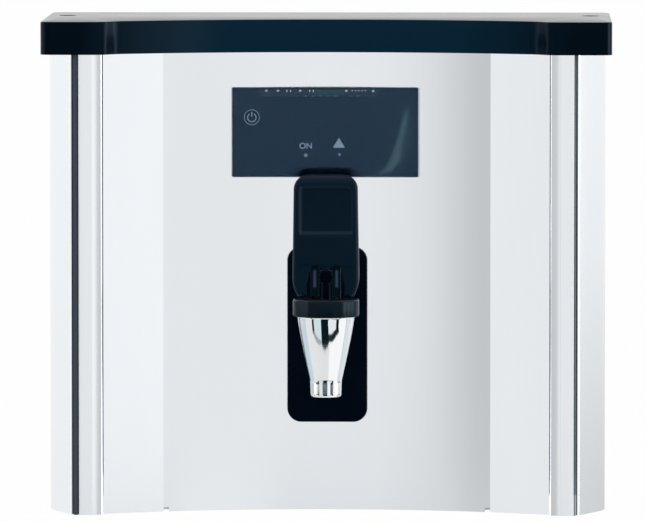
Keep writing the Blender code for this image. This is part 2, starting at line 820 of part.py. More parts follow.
def make_front_cover():
    path = cover_path()
    cover = piece("front_cover", outline(band(path, 0, COVER_FLANGE), 0, BODY_TOP,
                                         smooth_angle=CREASE_ANGLE), "stainless")
    inside = band(stretched(path, OVERRUN), SHEET, COVER_FLANGE + OVERRUN)
    cut(cover, tool(outline(inside, SHEET, BODY_TOP - SHEET)))
    notch_middle = PANEL_HALF - NOTCH_WIDTH / 2
    for side in (-1, 1):
        beyond = sorted((side * WING_END, side * BODY_WIDTH))
        cut(cover, tool(box(beyond, (-SIDE_FRONT_DEPTH - OVERRUN, 0), (-OVERRUN, BODY_TOP + OVERRUN))))
        x = side * notch_middle
        across = (x - NOTCH_WIDTH / 2, x + NOTCH_WIDTH / 2)
        along = (-SEAM_DEPTH - COVER_FLANGE, -PANEL_DEPTH + COVER_FLANGE)
        cut(cover, tool(box(across, along, (-OVERRUN, NOTCH_HEIGHT))))
        cut(cover, tool(box(across, along, (BODY_TOP - NOTCH_HEIGHT, BODY_TOP + OVERRUN))))
    opening_x = WINDOW_WIDTH / 2 - HOUSING_WALL + GAP
    opening_z = WINDOW_HEIGHT / 2 - HOUSING_WALL + GAP
    cut(cover, tool(box((WINDOW_OFFSET - opening_x, WINDOW_OFFSET + opening_x),
                        (-WING_DEPTH, -PANEL_DEPTH + COVER_FLANGE),
                        (WINDOW_CENTRE_HEIGHT - opening_z, WINDOW_CENTRE_HEIGHT + opening_z))))
    cut(cover, tool(rod(NECK_RADIUS + GAP, -WING_DEPTH, -PANEL_DEPTH + COVER_FLANGE, "Y", 0,
                        SHANK_HEIGHT)))


def make_posts_and_sides():
    post = post_path()
    for side, seal_gap in (("left", SEAL_GAP_LEFT), ("right", SEAL_GAP_RIGHT)):
        flank = side_path(seal_gap)
        front = -POST_DEPTH + SEAL_RECESS
        strip = rectangle((POST_OUTER + GAP, POST_OUTER + seal_gap - GAP), (front, front + SEAL_DEPTH))
        shapes = {
            "corner_post_": (band(post, 0, SHEET), "stainless"),
            "side_panel_": (band(flank, 0, SHEET), "stainless"),
            "seal_strip_": (strip, "seal_rubber"),
        }
        for stem, (points, finish) in shapes.items():
            drawn = mirrored(points) if side == "left" else points
            piece(stem + side, outline(drawn, 0, BODY_TOP, smooth_angle=FOLD_ANGLE), finish)


def keyhole(cx, cy):
    """A round hole with a narrower slot above it."""
    lean = math.acos(KEYHOLE_SLOT_RADIUS / KEYHOLE_HEAD_RADIUS)
    head = arc(cx, cy, KEYHOLE_HEAD_RADIUS, lean, lean - 2 * math.pi + (math.pi - 2 * lean), ROUND_STEPS)
    slot = arc(cx, cy + KEYHOLE_RISE, KEYHOLE_SLOT_RADIUS, math.pi, 0, SMALL_STEPS // 2)
    return head + slot


def make_back_panel():
    half = BODY_HALF - SHEET - GAP
    back = piece("back_panel", box((-half, half), (-BACK_FLANGE, 0), (0, BODY_TOP)), "zinc")
    cut(back, tool(box((BACK_SHEET - half, half - BACK_SHEET), (-BACK_FLANGE - OVERRUN, -BACK_SHEET),
                       (BACK_SHEET, BODY_TOP - BACK_SHEET))))
    for side in (-1, 1):
        x = side * (BODY_HALF - KEYHOLE_INSET)
        cut(back, tool(outline(keyhole(x, KEYHOLE_HEIGHT), -OVERRUN, OVERRUN, "Y")))
        cut(back, tool(rod(LOWER_HOLE_RADIUS, -BACK_FLANGE / 2, OVERRUN, "Y", x, LOWER_HOLE_HEIGHT,
                           steps=SMALL_STEPS)))


def base_outline():
    """The plate follows the cover inside, then steps back behind the posts."""
    front = shifted(stretched(cover_path(), -SHEET - GAP), SHEET + GAP)
    post_back = -POST_DEPTH + POST_BEND + POST_INNER_FLANGE + GAP
    side = BODY_HALF - SHEET - GAP
    angle = side_angle(SEAL_GAP_RIGHT)
    bend_depth = SIDE_SLANT_DEPTH - SIDE_BEND_RADIUS * math.tan(angle / 2)
    slant = BODY_HALF - (-post_back - SIDE_SLANT_DEPTH) * math.tan(angle) - 2 * (SHEET + GAP)
    rear_side = side - BACK_SHEET - GAP
    rear_front = -BACK_FLANGE - GAP
    rear = -BACK_SHEET - GAP
    right = [(front[-1][0], post_back), (slant, post_back), (side, -bend_depth),
             (side, rear_front), (rear_side, rear_front), (rear_side, rear)]
    return front + right + mirrored(right)


def make_base_plate():
    base = piece("base_plate", outline(base_outline(), SHEET + GAP, BASE_TOP + BASE_FLANGE), "zinc")
    side = BODY_HALF - SHEET - GAP - BASE_SHEET
    rear = -BACK_SHEET - GAP - BASE_SHEET
    path = stretched(cover_path(), OVERRUN)
    front_inside = SHEET + GAP + BASE_SHEET
    cut(base, tool(box((-side, side), (-SIDE_FRONT_DEPTH - OVERRUN, rear), (BASE_TOP, BASE_TOP + OVERRUN))))
    under = shifted(path, front_inside) + [(BODY_WIDTH, OVERRUN), (-BODY_WIDTH, OVERRUN)]
    cut(base, tool(outline(under, SHEET + GAP + BASE_SHEET, BASE_HEIGHT)))
    lip = shifted(path, front_inside + BASE_LIP) + [(BODY_WIDTH, OVERRUN), (-BODY_WIDTH, OVERRUN)]
    cut(base, tool(outline(lip, -OVERRUN, BASE_HEIGHT - BASE_SHEET)))
    ends = WING_END - BASE_LIP
    for sign in (-1, 1):
        outer = sorted((sign * ends, sign * BODY_WIDTH))
        cut(base, tool(box(outer, (-SIDE_FRONT_DEPTH - OVERRUN, OVERRUN), (-OVERRUN, BASE_HEIGHT))))
    holes = [
        (INLET_RADIUS + INLET_HOLE_CLEARANCE, VALVE_X, -VALVE_DEPTH),
        (VENT_RADIUS + PIPE_HOLE_CLEARANCE, VENT_DROP_X, -VENT_DROP_DEPTH),
        (DRAIN_RADIUS + PIPE_HOLE_CLEARANCE, DRAIN_X, -TANK_MIDDLE),
        (BUSHING_RADIUS + BUSHING_HOLE_CLEARANCE, CUTOUT_X, -CUTOUT_DEPTH),
        (GLAND_RADIUS + GLAND_HOLE_CLEARANCE, GLAND_X, -GLAND_DEPTH),
    ]
    for radius, x, y in holes:
        cut(base, tool(rod(radius, 0, BASE_HEIGHT + BASE_FLANGE, "Z", x, y)))


def lid_outline():
    """The lid's plan: it follows the casing at the front, with softer steps."""
    path = shifted(cover_path(), -LID_OVERHANG)
    wing_start = Vector(path[-2])
    wing = (Vector(path[-1]) - wing_start).normalized()
    inner_x = WING_END - LID_STEP_INSET
    inner = wing_start + wing * (inner_x - wing_start.x) / wing.x
    corners = [tuple(inner), (inner_x + LID_STEP_RUN, -LID_FRONT), (LID_HALF, -LID_FRONT), (LID_HALF, 0)]
    radii = [LID_INNER_RADIUS, LID_OUTER_RADIUS, LID_CORNER_RADIUS, LID_BACK_RADIUS]
    guide = [tuple(wing_start)] + corners + [(0, 0)]
    right = rounded(guide, [0] + radii + [0], 5)[1:-1]
    return path[1:-1] + right + mirrored(right)


def make_lid():
    plan = lid_outline()
    lid = piece("lid", outline(plan, LID_BOTTOM, LID_TOP, rounding=LID_EDGE_ROUND, round_low=False,
                               smooth_angle=LID_ANGLE), "lid_black")
    cut(lid, tool(outline(shifted(plan, LID_WALL, closed=True), LID_BOTTOM - OVERRUN, BODY_TOP + GAP)))
    open_back = BODY_HALF + GAP
    cut(lid, tool(box((-open_back, open_back), (-LID_BACK_RADIUS, OVERRUN),
                      (LID_BOTTOM - OVERRUN, BODY_TOP + GAP))))
    bore_floor = LID_TOP - LID_BORE_DEPTH
    boss_bottom = bore_floor - LID_BORE_FLOOR
    x = LID_HALF - LID_SCREW_INSET
    for sign, side in ((-1, "left"), (1, "right")):
        centre = (sign * x, -LID_SCREW_DEPTH)
        join(lid, tool(rod(LID_BORE_RADIUS + LID_BOSS_WALL, boss_bottom, LID_TOP - LID_EDGE_ROUND, "Z",
                           *centre)))
        cut(lid, tool(rod(LID_BORE_RADIUS, bore_floor, LID_TOP + OVERRUN, "Z", *centre)))
        cut(lid, tool(rod(SCREW_RADIUS + SCREW_CLEARANCE, LID_BOTTOM, LID_TOP, "Z", *centre,
                          steps=SMALL_STEPS)))
        place = home_at("lid_screw_home_" + side, *centre, bore_floor + GAP)
        make_lid_screw(side, place)
        make_lid_bracket(side, sign, boss_bottom - GAP, centre)


def make_lid_screw(side, home):
    points = [(0, SCREW_HEAD_HEIGHT), (SCREW_HEAD_RADIUS / 2, SCREW_HEAD_HEIGHT),
              (SCREW_HEAD_RADIUS, SCREW_HEAD_HEIGHT / 2), (SCREW_HEAD_RADIUS, 0), (SCREW_RADIUS, 0),
              (SCREW_RADIUS, -SCREW_LENGTH), (0, -SCREW_LENGTH)]
    turn(piece("lid_screw_" + side, profile_mesh(points), "steel", home), SMALL_STEPS)


def make_lid_bracket(side, sign, top, centre):
    outer = BODY_HALF - SHEET - GAP
    legs = [(outer, top - BRACKET_LEG), (outer, top), (outer - BRACKET_REACH, top)]
    points = band(legs, 0, BRACKET_SHEET)
    drawn = mirrored(points) if side == "left" else points
    bracket = piece("lid_bracket_" + side, outline(drawn, centre[1] - BRACKET_WIDTH / 2,
                                                   centre[1] + BRACKET_WIDTH / 2, "Y"), "zinc")
    cut(bracket, tool(rod(SCREW_RADIUS + SCREW_CLEARANCE, top - OVERRUN, top + OVERRUN, "Z", *centre,
                          steps=SMALL_STEPS)))


# Display

def make_display():
    edge = WINDOW_WIDTH / 2 + abs(WINDOW_OFFSET)
    home = home_at("display_home", WINDOW_OFFSET, 0, WINDOW_CENTRE_HEIGHT)
    half_x = WINDOW_WIDTH / 2
    half_z = WINDOW_HEIGHT / 2
    window_back = -panel_depth(edge) - GAP
    window_front = window_back - WINDOW_THICKNESS
    face = rectangle((-half_x, half_x), (-half_z, half_z), WINDOW_CORNER, 3)
    piece("display_window", outline(face, window_front, window_back, "Y"), "window_glass", home)
    overlay_front = window_back + GAP
    overlay_back = overlay_front + OVERLAY_THICKNESS
    film_x = half_x - HOUSING_WALL
    film_z = half_z - HOUSING_WALL
    film = rectangle((-film_x, film_x), (-film_z, film_z))
    overlay = piece("display_overlay", outline(film, overlay_front, overlay_back, "Y"),
                    "overlay_film", home)
    strip_top = half_z - STRIP_DROP
    strip = rectangle((-STRIP_LEFT, STRIP_RIGHT), (strip_top - STRIP_HEIGHT, strip_top))
    cut(overlay, tool(outline(strip, overlay_front - OVERRUN, overlay_back + OVERRUN, "Y"), home))
    make_display_housing(home, half_x, half_z, overlay_back + GAP)


def make_display_housing(home, half_x, half_z, front):
    body_x = half_x - HOUSING_WALL
    body_z = half_z - HOUSING_WALL
    rim_front = -PANEL_DEPTH + SHEET + GAP
    rim_back = rim_front + HOUSING_RIM_THICKNESS
    back = rim_back + HOUSING_TAIL
    block = rectangle((-body_x, body_x), (-body_z, body_z))
    housing = piece("display_housing", outline(block, front, back, "Y"), "black_plastic", home)
    rim_x = body_x + HOUSING_RIM
    rim_z = body_z + HOUSING_RIM
    rim = rectangle((-rim_x, rim_x), (-rim_z, rim_z))
    join(housing, tool(outline(rim, rim_front, rim_back, "Y"), home))
    inner_x = body_x - HOUSING_WALL
    inner_z = body_z - HOUSING_WALL
    board_front = front + BOARD_SETBACK
    board_back = board_front + BOARD_THICKNESS
    ledge = board_back + GAP
    inside = rectangle((-inner_x, inner_x), (-inner_z, inner_z))
    throat_x = inner_x - BOARD_LEDGE
    throat_z = inner_z - BOARD_LEDGE
    throat = rectangle((-throat_x, throat_x), (-throat_z, throat_z))
    cut(housing, tool(outline(inside, front - OVERRUN, ledge, "Y"), home))
    cut(housing, tool(outline(throat, front, ledge + BOARD_LEDGE_DEPTH + OVERRUN, "Y"), home))
    cut(housing, tool(outline(inside, ledge + BOARD_LEDGE_DEPTH, back + OVERRUN, "Y"), home))
    board = rectangle((GAP - inner_x, inner_x - GAP), (GAP - inner_z, inner_z - GAP))
    piece("display_board", outline(board, board_front, board_back, "Y"), "circuit_board", home)


# Tap

def cam_radius(angle):
    """The cam grows evenly with the angle in front of straight down."""
    return CAM_RADIUS + CAM_RISE * max(angle, 0)


def cam_points(trim, steps=20):
    """The foot's curve from back to front, as (forward, height) about the pin."""
    spread = CAM_END - CAM_START
    angles = [CAM_START + spread * index / steps for index in range(steps + 1)]
    return [(-math.sin(a) * (cam_radius(a) - trim), -math.cos(a) * (cam_radius(a) - trim)) for a in angles]


def pin_height():
    """The pin sits so that the cam's lowest point just clears the bonnet."""
    drop = max(-height for forward, height in cam_points(0))
    return BONNET_TOP + CAM_RUNNING_GAP + drop


def make_tap():
    home = home_at("tap_home", 0, -TAP_DEPTH, 0)
    make_backplate()
    make_tap_body(home)
    make_bonnet(home)
    make_stem(home)
    make_lever(home_at("lever_home", 0, 0, pin_height(), home))
    make_shank_parts(home)


def backplate_back():
    return -panel_depth(BACKPLATE_WIDTH / 2) - GAP


def make_backplate():
    half = BACKPLATE_WIDTH / 2
    tall = BACKPLATE_HEIGHT / 2
    face = rectangle((-half, half), (SHANK_HEIGHT - tall, SHANK_HEIGHT + tall), BACKPLATE_CORNER, 6)
    back = backplate_back()
    plate = piece("tap_backplate", outline(face, back - BACKPLATE_THICKNESS, back, "Y",
                                           rounding=BACKPLATE_ROUND, round_high=False), "black_plastic")
    cut(plate, tool(rod(NECK_RADIUS + GAP, back - OVERRUN, back + OVERRUN, "Y", 0, SHANK_HEIGHT)))


def shank_stations():
    """Where the neck's flange, thread and tail end, measured from the tap's axis."""
    flange_back = TAP_DEPTH + backplate_back() - BACKPLATE_THICKNESS - GAP
    thread_end = TAP_REACH + SHEET + 2 * GAP + WASHER_THICKNESS + GAP + NUT_THICKNESS + GAP
    tail_end = TAP_DEPTH - TANK_FRONT - OUTLET_STUB - TAIL_GAP
    return flange_back, thread_end, tail_end


def make_tap_body(home):
    outside = [(COLLAR_SEAT_RADIUS, COLLAR_SEAT_TOP), (COLLAR_SEAT_RADIUS, TAP_SHOULDER),
               (TAP_RADIUS, TAP_SHOULDER), (TAP_RADIUS, TAPER_TOP), (SPOUT_RADIUS, SPOUT_TOP),
               (SPOUT_RADIUS, SPOUT_BOTTOM + SPOUT_LIP), (SPOUT_RADIUS - SPOUT_LIP, SPOUT_BOTTOM)]
    inside = [(SPOUT_BORE, SPOUT_BOTTOM), (SPOUT_BORE, SEAT_HEIGHT), (CHAMBER_RADIUS, SEAT_HEIGHT),
              (CHAMBER_RADIUS, COLLAR_SEAT_TOP)]
    body = turn(piece("tap_body", profile_mesh(outside + inside, closed=True), "chrome", home), FINE_STEPS)
    flange_back, thread_end, tail_end = shank_stations()
    root = (CHAMBER_RADIUS + SPOUT_RADIUS) / 2
    join(body, tool(rod(NECK_RADIUS, root, thread_end, "Y", 0, SHANK_HEIGHT), home))
    join(body, tool(rod(NECK_FLANGE_RADIUS, flange_back - NECK_FLANGE_THICKNESS, flange_back, "Y", 0,
                        SHANK_HEIGHT), home))
    join(body, tool(rod(TAIL_RADIUS, thread_end - GAP, tail_end, "Y", 0, SHANK_HEIGHT), home))
    over = COLLAR_SEAT_TOP + OVERRUN
    chamber = [(0, over), (CHAMBER_RADIUS, over), (CHAMBER_RADIUS, SEAT_HEIGHT), (0, SEAT_HEIGHT)]
    cut(body, turn(tool(profile_mesh(chamber), home), FINE_STEPS))
    cut(body, tool(rod(NECK_BORE, 0, tail_end + OVERRUN, "Y", 0, SHANK_HEIGHT), home))


def make_bonnet(home):
    steps = BONNET_LOBES * 6
    points = []
    for index in range(steps):
        angle = 2 * math.pi * index / steps
        wave = math.cos(BONNET_LOBES * angle) / 2 + 1 / 2
        radius = BONNET_RADIUS - BONNET_SCALLOP * wave ** 2
        points.append((radius * math.cos(angle), radius * math.sin(angle)))
    bonnet = piece("tap_bonnet", outline(points, BONNET_BOTTOM, BONNET_TOP, rounding=BONNET_ROUND,
                                         round_low=False), "black_plastic", home)
    cut(bonnet, tool(rod(COLLAR_SEAT_RADIUS + GAP, BONNET_BOTTOM - OVERRUN, BONNET_CEILING,
                         steps=FINE_STEPS), home))
    cut(bonnet, tool(rod(STEM_RADIUS + STEM_BORE_CLEARANCE, BONNET_BOTTOM, BONNET_TOP + OVERRUN,
                         steps=SMALL_STEPS), home))


def make_stem(home):
    foot_bottom = SEAT_HEIGHT + GAP + CUP_FLOOR
    foot_top = foot_bottom + STEM_FOOT_HEIGHT
    pin = pin_height()
    stem_home = home_at("stem_home", 0, 0, pin, home)
    points = [(0, 0), (STEM_RADIUS, 0), (STEM_RADIUS, foot_top - pin), (STEM_FOOT_RADIUS, foot_top - pin),
              (STEM_FOOT_RADIUS, foot_bottom - pin), (0, foot_bottom - pin)]
    stem = turn(piece("tap_stem", profile_mesh(points), "coil_black", stem_home), ROUND_STEPS)
    half = STEM_EYE_WIDTH / 2
    join(stem, tool(rod(STEM_EYE_RADIUS, -half, half, "X"), stem_home))
    hole = PIN_RADIUS + PIN_CLEARANCE
    cut(stem, tool(rod(hole, -OVERRUN, OVERRUN, "X", steps=SMALL_STEPS), stem_home))
    reach = CAM_SPACING / 2 + CAM_WIDTH / 2
    piece("lever_pin", rod(PIN_RADIUS, -reach, reach, "X", steps=SMALL_STEPS), "coil_black",
          stem_home)
    make_seat_cup(home, foot_bottom, foot_top)


def make_seat_cup(home, foot_bottom, foot_top):
    """The cup is clamped under the bonnet, holds the stem's foot and keeps the spring dry."""
    top = BONNET_CEILING - GAP
    flange_bottom = top - CUP_FLANGE_THICKNESS
    bottom = SEAT_HEIGHT + GAP
    lip_bottom = foot_top + CUP_SLACK
    lip_top = lip_bottom + CUP_LIP
    inner = CUP_RADIUS - CUP_WALL
    pocket = STEM_FOOT_RADIUS + CUP_SLACK
    throat = STEM_RADIUS + CUP_SLACK
    flange = COLLAR_SEAT_RADIUS - GAP
    inside = [(0, foot_bottom - GAP), (pocket, foot_bottom - GAP), (pocket, lip_bottom),
              (throat, lip_bottom), (throat, lip_top), (inner, lip_top), (inner, top)]
    outside = [(flange, top), (flange, flange_bottom), (CUP_RADIUS, flange_bottom),
               (CUP_RADIUS, bottom + CUP_TAPER), (CUP_RADIUS - CUP_TAPER, bottom), (0, bottom)]
    turn(piece("seat_cup", profile_mesh(inside + outside), "silicone", home))
    route = coil_route(TAP_SPRING_RADIUS, lip_top + GAP, top, TAP_SPRING_TURNS, TAP_SPRING_WIRE)
    piece("tap_spring", tube(route, TAP_SPRING_WIRE, 1), "steel", home)


def lever_half_width(height):
    """Half the lever's width at a height above its pin."""
    share = min(max(height / LEVER_TOP, 0), 1)
    half = (LEVER_FOOT_WIDTH + (LEVER_TOP_WIDTH - LEVER_FOOT_WIDTH) * share) / 2
    if height < 0:
        half -= LEVER_FOOT_INSET * (height / CAM_RADIUS) ** 2
    bend = height - (LEVER_TOP - LEVER_CORNER)
    if bend > 0:
        half -= LEVER_CORNER - math.sqrt(max(LEVER_CORNER ** 2 - bend ** 2, 0))
    return half


def lever_front(height):
    """The front face runs straight up and rolls back at the crown."""
    roll = height - (LEVER_TOP - LEVER_CROWN)
    if roll <= 0:
        return -LEVER_FRONT
    return -LEVER_FRONT + LEVER_CROWN - math.sqrt(max(LEVER_CROWN ** 2 - roll ** 2, 0))


def lever_back(height):
    """The rear edge sweeps forward from the deep foot to the slim top."""
    slim = -LEVER_FRONT + LEVER_THICKNESS
    share = min(max(height / (LEVER_TOP * 2 / 3), 0), 1)
    ease = (1 - math.cos(math.pi * share)) / 2
    return LEVER_BACK_FOOT + (slim - LEVER_BACK_FOOT) * ease


def lever_section(height, inset, open_back):
    """One ring of the lever: a rectangle with rounded front corners."""
    half = lever_half_width(height + inset) - inset
    front = lever_front(height + inset) + inset
    back = lever_back(height) + (OVERRUN if open_back else 0)
    edge = max(LEVER_EDGE - inset, LEVER_EDGE / 6)
    left = arc(edge - half, front + edge, edge, math.pi, math.pi * 3 / 2, 4)
    right = arc(half - edge, front + edge, edge, -math.pi / 2, 0, 4)
    ring = left + right + [(half, back), (-half, back)]
    return [(x, y, height) for x, y in ring]


def lever_heights(low, high, bend):
    """Even steps up the shank, then closer ones round the crown."""
    steps = 11
    straight = [low + (high - bend - low) * index / steps for index in range(steps)]
    return straight + [high - bend + bend * math.sin(math.pi / 2 * share) for share in CROWN_SHARES]


def make_lever(home):
    low = -CAM_RADIUS * 3 / 2
    heights = lever_heights(low, LEVER_TOP, LEVER_CORNER)
    lever = piece("tap_lever", loft([lever_section(h, 0, False) for h in heights]), "black_plastic", home)
    inner_top = LEVER_TOP - LEVER_WALL
    bend = LEVER_CORNER - LEVER_WALL
    inner = lever_heights(low - LEVER_WALL, inner_top, bend)
    cut(lever, tool(loft([lever_section(h, LEVER_WALL, True) for h in inner]), home))
    trimmed = cam_points(LEVER_FOOT_TRIM)
    back, front = trimmed[0], trimmed[-1]
    reach = CAM_RADIUS * 2
    below = trimmed + [(-reach, front[1]), (-reach, -reach), (reach, -reach), (reach, back[1])]
    cut(lever, tool(outline(below, -BODY_HALF, BODY_HALF, "X"), home))
    cut(lever, tool(outline(arch_outline(), -LEVER_FRONT - OVERRUN, LEVER_WALL * 3 / 2 - LEVER_FRONT, "Y"),
                    home))
    for sign in (-1, 1):
        middle = sign * CAM_SPACING / 2
        arm = tool(outline(cam_arm(), middle - CAM_WIDTH / 2, middle + CAM_WIDTH / 2, "X"), home)
        join(lever, arm)
    reach = CAM_SPACING / 2 + CAM_WIDTH
    cut(lever, tool(rod(PIN_RADIUS + PIN_CLEARANCE, -reach, reach, "X", steps=SMALL_STEPS), home))
    pad = rectangle((-PAD_WIDTH / 2, PAD_WIDTH / 2), (PAD_BOTTOM, PAD_BOTTOM + PAD_HEIGHT), PAD_CORNER)
    cut(lever, tool(outline(pad, -LEVER_FRONT - OVERRUN, PAD_RECESS - LEVER_FRONT, "Y"), home))


def cam_arm():
    """A cam, its shank and the rib that ties it to the front wall."""
    foot = cam_points(0)
    wall = LEVER_WALL / 2 - LEVER_FRONT
    return foot + [(-CAM_FRONT, -CAM_RADIUS / 2), (-CAM_FRONT, ARCH_HEIGHT),
                   (wall, ARCH_HEIGHT + CAM_ROUND), (wall, CAM_RIB_HEIGHT),
                   (wall + LEVER_WALL, CAM_RIB_HEIGHT), (CAM_BACK - CAM_ROUND, ARCH_HEIGHT),
                   (CAM_BACK, -CAM_RADIUS / 3)]


def arch_outline():
    """The opening in the front wall: two round-headed bays with a web between."""
    half = ARCH_WIDTH / 2
    bottom = -CAM_RADIUS * 3 / 2
    spring = ARCH_HEIGHT - ARCH_LOBE_RADIUS
    lobe = ARCH_LOBE_SPACING / 2
    right = arc(lobe, spring, ARCH_LOBE_RADIUS, 0, math.pi / 2, 5)
    right += arc(lobe, spring, ARCH_LOBE_RADIUS, math.pi / 2, math.pi * 5 / 6, 4)[1:]
    web = (ARCH_LOBE_RADIUS / 2, ARCH_WEB_HEIGHT)
    half_path = [(half, bottom), (half, -CAM_RADIUS / 3)] + right + [web]
    return half_path + mirrored(half_path)


def make_shank_parts(home):
    washer_front = TAP_REACH + SHEET + GAP
    washer_back = washer_front + WASHER_THICKNESS
    hole = NECK_RADIUS + GAP
    washer = piece("shank_washer", rod(NECK_FLANGE_RADIUS, washer_front, washer_back, "Y", 0, SHANK_HEIGHT),
                   "silicone", home)
    cut(washer, tool(rod(hole, washer_front - OVERRUN, washer_back + OVERRUN, "Y", 0, SHANK_HEIGHT), home))
    nut_front = washer_back + GAP
    nut_back = nut_front + NUT_THICKNESS
    nut = piece("shank_nut", outline(hexagon(NUT_FLATS, 0, SHANK_HEIGHT), nut_front, nut_back, "Y"),
                "brass", home)
    cut(nut, tool(rod(hole, nut_front - OVERRUN, nut_back + OVERRUN, "Y", 0, SHANK_HEIGHT), home))
    start = shank_stations()[1] + GAP
    end = start + SLEEVE_LENGTH
    inner = TAIL_RADIUS + GAP
    sleeve = piece("outlet_sleeve", rod(inner + SLEEVE_WALL, start, end, "Y", 0, SHANK_HEIGHT),
                   "silicone", home)
    cut(sleeve, tool(rod(inner, start - OVERRUN, end + OVERRUN, "Y", 0, SHANK_HEIGHT), home))


# Tank

def make_tank():
    half = TANK_WIDTH / 2
    plan = rectangle((-half, half), (-TANK_FRONT, -TANK_REAR), TANK_CORNER)
    tank = piece("tank", outline(plan, TANK_BOTTOM, TANK_TOP), "stainless")
    rim = rectangle((-half - TANK_FLANGE, half + TANK_FLANGE),
                    (-TANK_FRONT - TANK_FLANGE, TANK_FLANGE - TANK_REAR), TANK_CORNER)
    join(tank, tool(outline(rim, TANK_TOP - TANK_FLANGE_THICKNESS, TANK_TOP + GAP)))
    cut(tank, tool(box((-BODY_HALF, BODY_HALF), (-SIDE_FRONT_DEPTH, 0), (TANK_TOP, TANK_TOP + OVERRUN))))
    join(tank, tool(rod(TAIL_RADIUS, -TANK_FRONT - OUTLET_STUB, TANK_WALL - TANK_FRONT, "Y", 0,
                        SHANK_HEIGHT)))
    join(tank, tool(rod(DRAIN_RADIUS, BASE_HEIGHT - DRAIN_DROP, TANK_BOTTOM + TANK_WALL, "Z", DRAIN_X,
                        -TANK_MIDDLE)))
    inner = half - TANK_WALL
    inside = rectangle((-inner, inner), (TANK_WALL - TANK_FRONT, -TANK_REAR - TANK_WALL),
                       TANK_CORNER - TANK_WALL)
    cut(tank, tool(outline(inside, TANK_BOTTOM + TANK_WALL, TANK_TOP + OVERRUN)))
    cut(tank, tool(rod(NECK_BORE, -TANK_FRONT - OVERRUN, -TANK_MIDDLE, "Y", 0, SHANK_HEIGHT)))
    cut(tank, tool(rod(DRAIN_BORE, 0, TANK_MIDDLE + TANK_BOTTOM, "Z", DRAIN_X, -TANK_MIDDLE)))
    cut(tank, tool(rod(ELEMENT_BOSS_RADIUS + ELEMENT_CLEARANCE, TANK_BOTTOM - OVERRUN,
                       TANK_BOTTOM + OVERRUN, "Z", ELEMENT_X, -TANK_MIDDLE)))
    make_tank_lid(rim)
    make_jacket(half)
    make_tank_feet()
    make_drain_plug()


def make_tank_lid(rim):
    gasket_bottom = TANK_TOP + GAP
    gasket_top = gasket_bottom + TANK_GASKET
    half = TANK_WIDTH / 2
    hole = rectangle((-half, half), (-TANK_FRONT, -TANK_REAR), TANK_CORNER)
    gasket = piece("tank_gasket", outline(rim, gasket_bottom, gasket_top), "silicone")
    cut(gasket, tool(outline(hole, gasket_bottom - OVERRUN, gasket_top + OVERRUN)))
    lid = piece("tank_lid", outline(rim, TANK_LID_BOTTOM, TANK_LID_TOP), "stainless")
    for x, depth in ((VENT_X, VENT_DEPTH), (FILL_X, FILL_DEPTH)):
        join(lid, tool(rod(SPIGOT_RADIUS, TANK_LID_BOTTOM + TANK_LID_THICKNESS / 2,
                           TANK_LID_TOP + SPIGOT_HEIGHT, "Z", x, -depth, steps=SMALL_STEPS)))
        cut(lid, tool(rod(SPIGOT_BORE, TANK_LID_BOTTOM - OVERRUN, TANK_LID_TOP + OVERRUN, "Z", x, -depth,
                          steps=SMALL_STEPS)))
    holes = [(PROBE_RADIUS + PROBE_CLEARANCE, x) for x in probe_places()]
    holes.append((SENSOR_RADIUS + PROBE_CLEARANCE, SENSOR_X))
    for radius, x in holes:
        cut(lid, tool(rod(radius, TANK_LID_BOTTOM - OVERRUN, TANK_LID_TOP + OVERRUN, "Z", x, -TANK_MIDDLE,
                          steps=SMALL_STEPS)))


def make_jacket(half):
    """The foam jacket wraps the tank's four sides under its flange."""
    outer_x = half + TANK_FLANGE
    outer = rectangle((-outer_x, outer_x), (-TANK_FRONT - TANK_FLANGE, TANK_FLANGE - TANK_REAR),
                      TANK_CORNER)
    inner_x = half + GAP
    inner = rectangle((-inner_x, inner_x), (-TANK_FRONT - GAP, GAP - TANK_REAR), TANK_CORNER)
    low = TANK_BOTTOM + JACKET_CLEARANCE
    high = TANK_TOP - TANK_FLANGE_THICKNESS - GAP
    jacket = piece("insulation_jacket", outline(outer, low, high), "insulation")
    cut(jacket, tool(outline(inner, low - OVERRUN, high + OVERRUN)))
    hole = TAIL_RADIUS + SLEEVE_WALL + JACKET_HOLE_CLEARANCE
    cut(jacket, tool(rod(hole, -TANK_FRONT - OVERRUN, -TANK_MIDDLE, "Y", 0, SHANK_HEIGHT)))


def make_tank_feet():
    """Two angle brackets carry the tank from the back panel."""
    back = -BACK_SHEET - GAP
    top = TANK_BOTTOM - GAP
    legs = [(-TANK_FRONT, top), (back, top), (back, top - TANK_FOOT_LEG)]
    points = shifted(legs, -TANK_FOOT_SHEET)
    for sign, side in ((-1, "left"), (1, "right")):
        x = sign * (TANK_WIDTH / 2 - TANK_FOOT_INSET)
        piece("tank_bracket_" + side, outline(legs + list(reversed(points)), x - TANK_FOOT_WIDTH / 2,
                                              x + TANK_FOOT_WIDTH / 2, "X"), "zinc")


def make_drain_plug():
    """A push-on cap over the drain pipe's end."""
    top = BASE_HEIGHT - DRAIN_DROP + DRAIN_PLUG_GRIP
    bottom = top - DRAIN_PLUG_HEIGHT
    plug = piece("drain_plug", rod(DRAIN_PLUG_RADIUS, bottom, top, "Z", DRAIN_X, -TANK_MIDDLE), "silicone")
    cut(plug, tool(rod(DRAIN_RADIUS + GAP, top - DRAIN_PLUG_GRIP - GAP, top + OVERRUN, "Z", DRAIN_X,
                       -TANK_MIDDLE)))


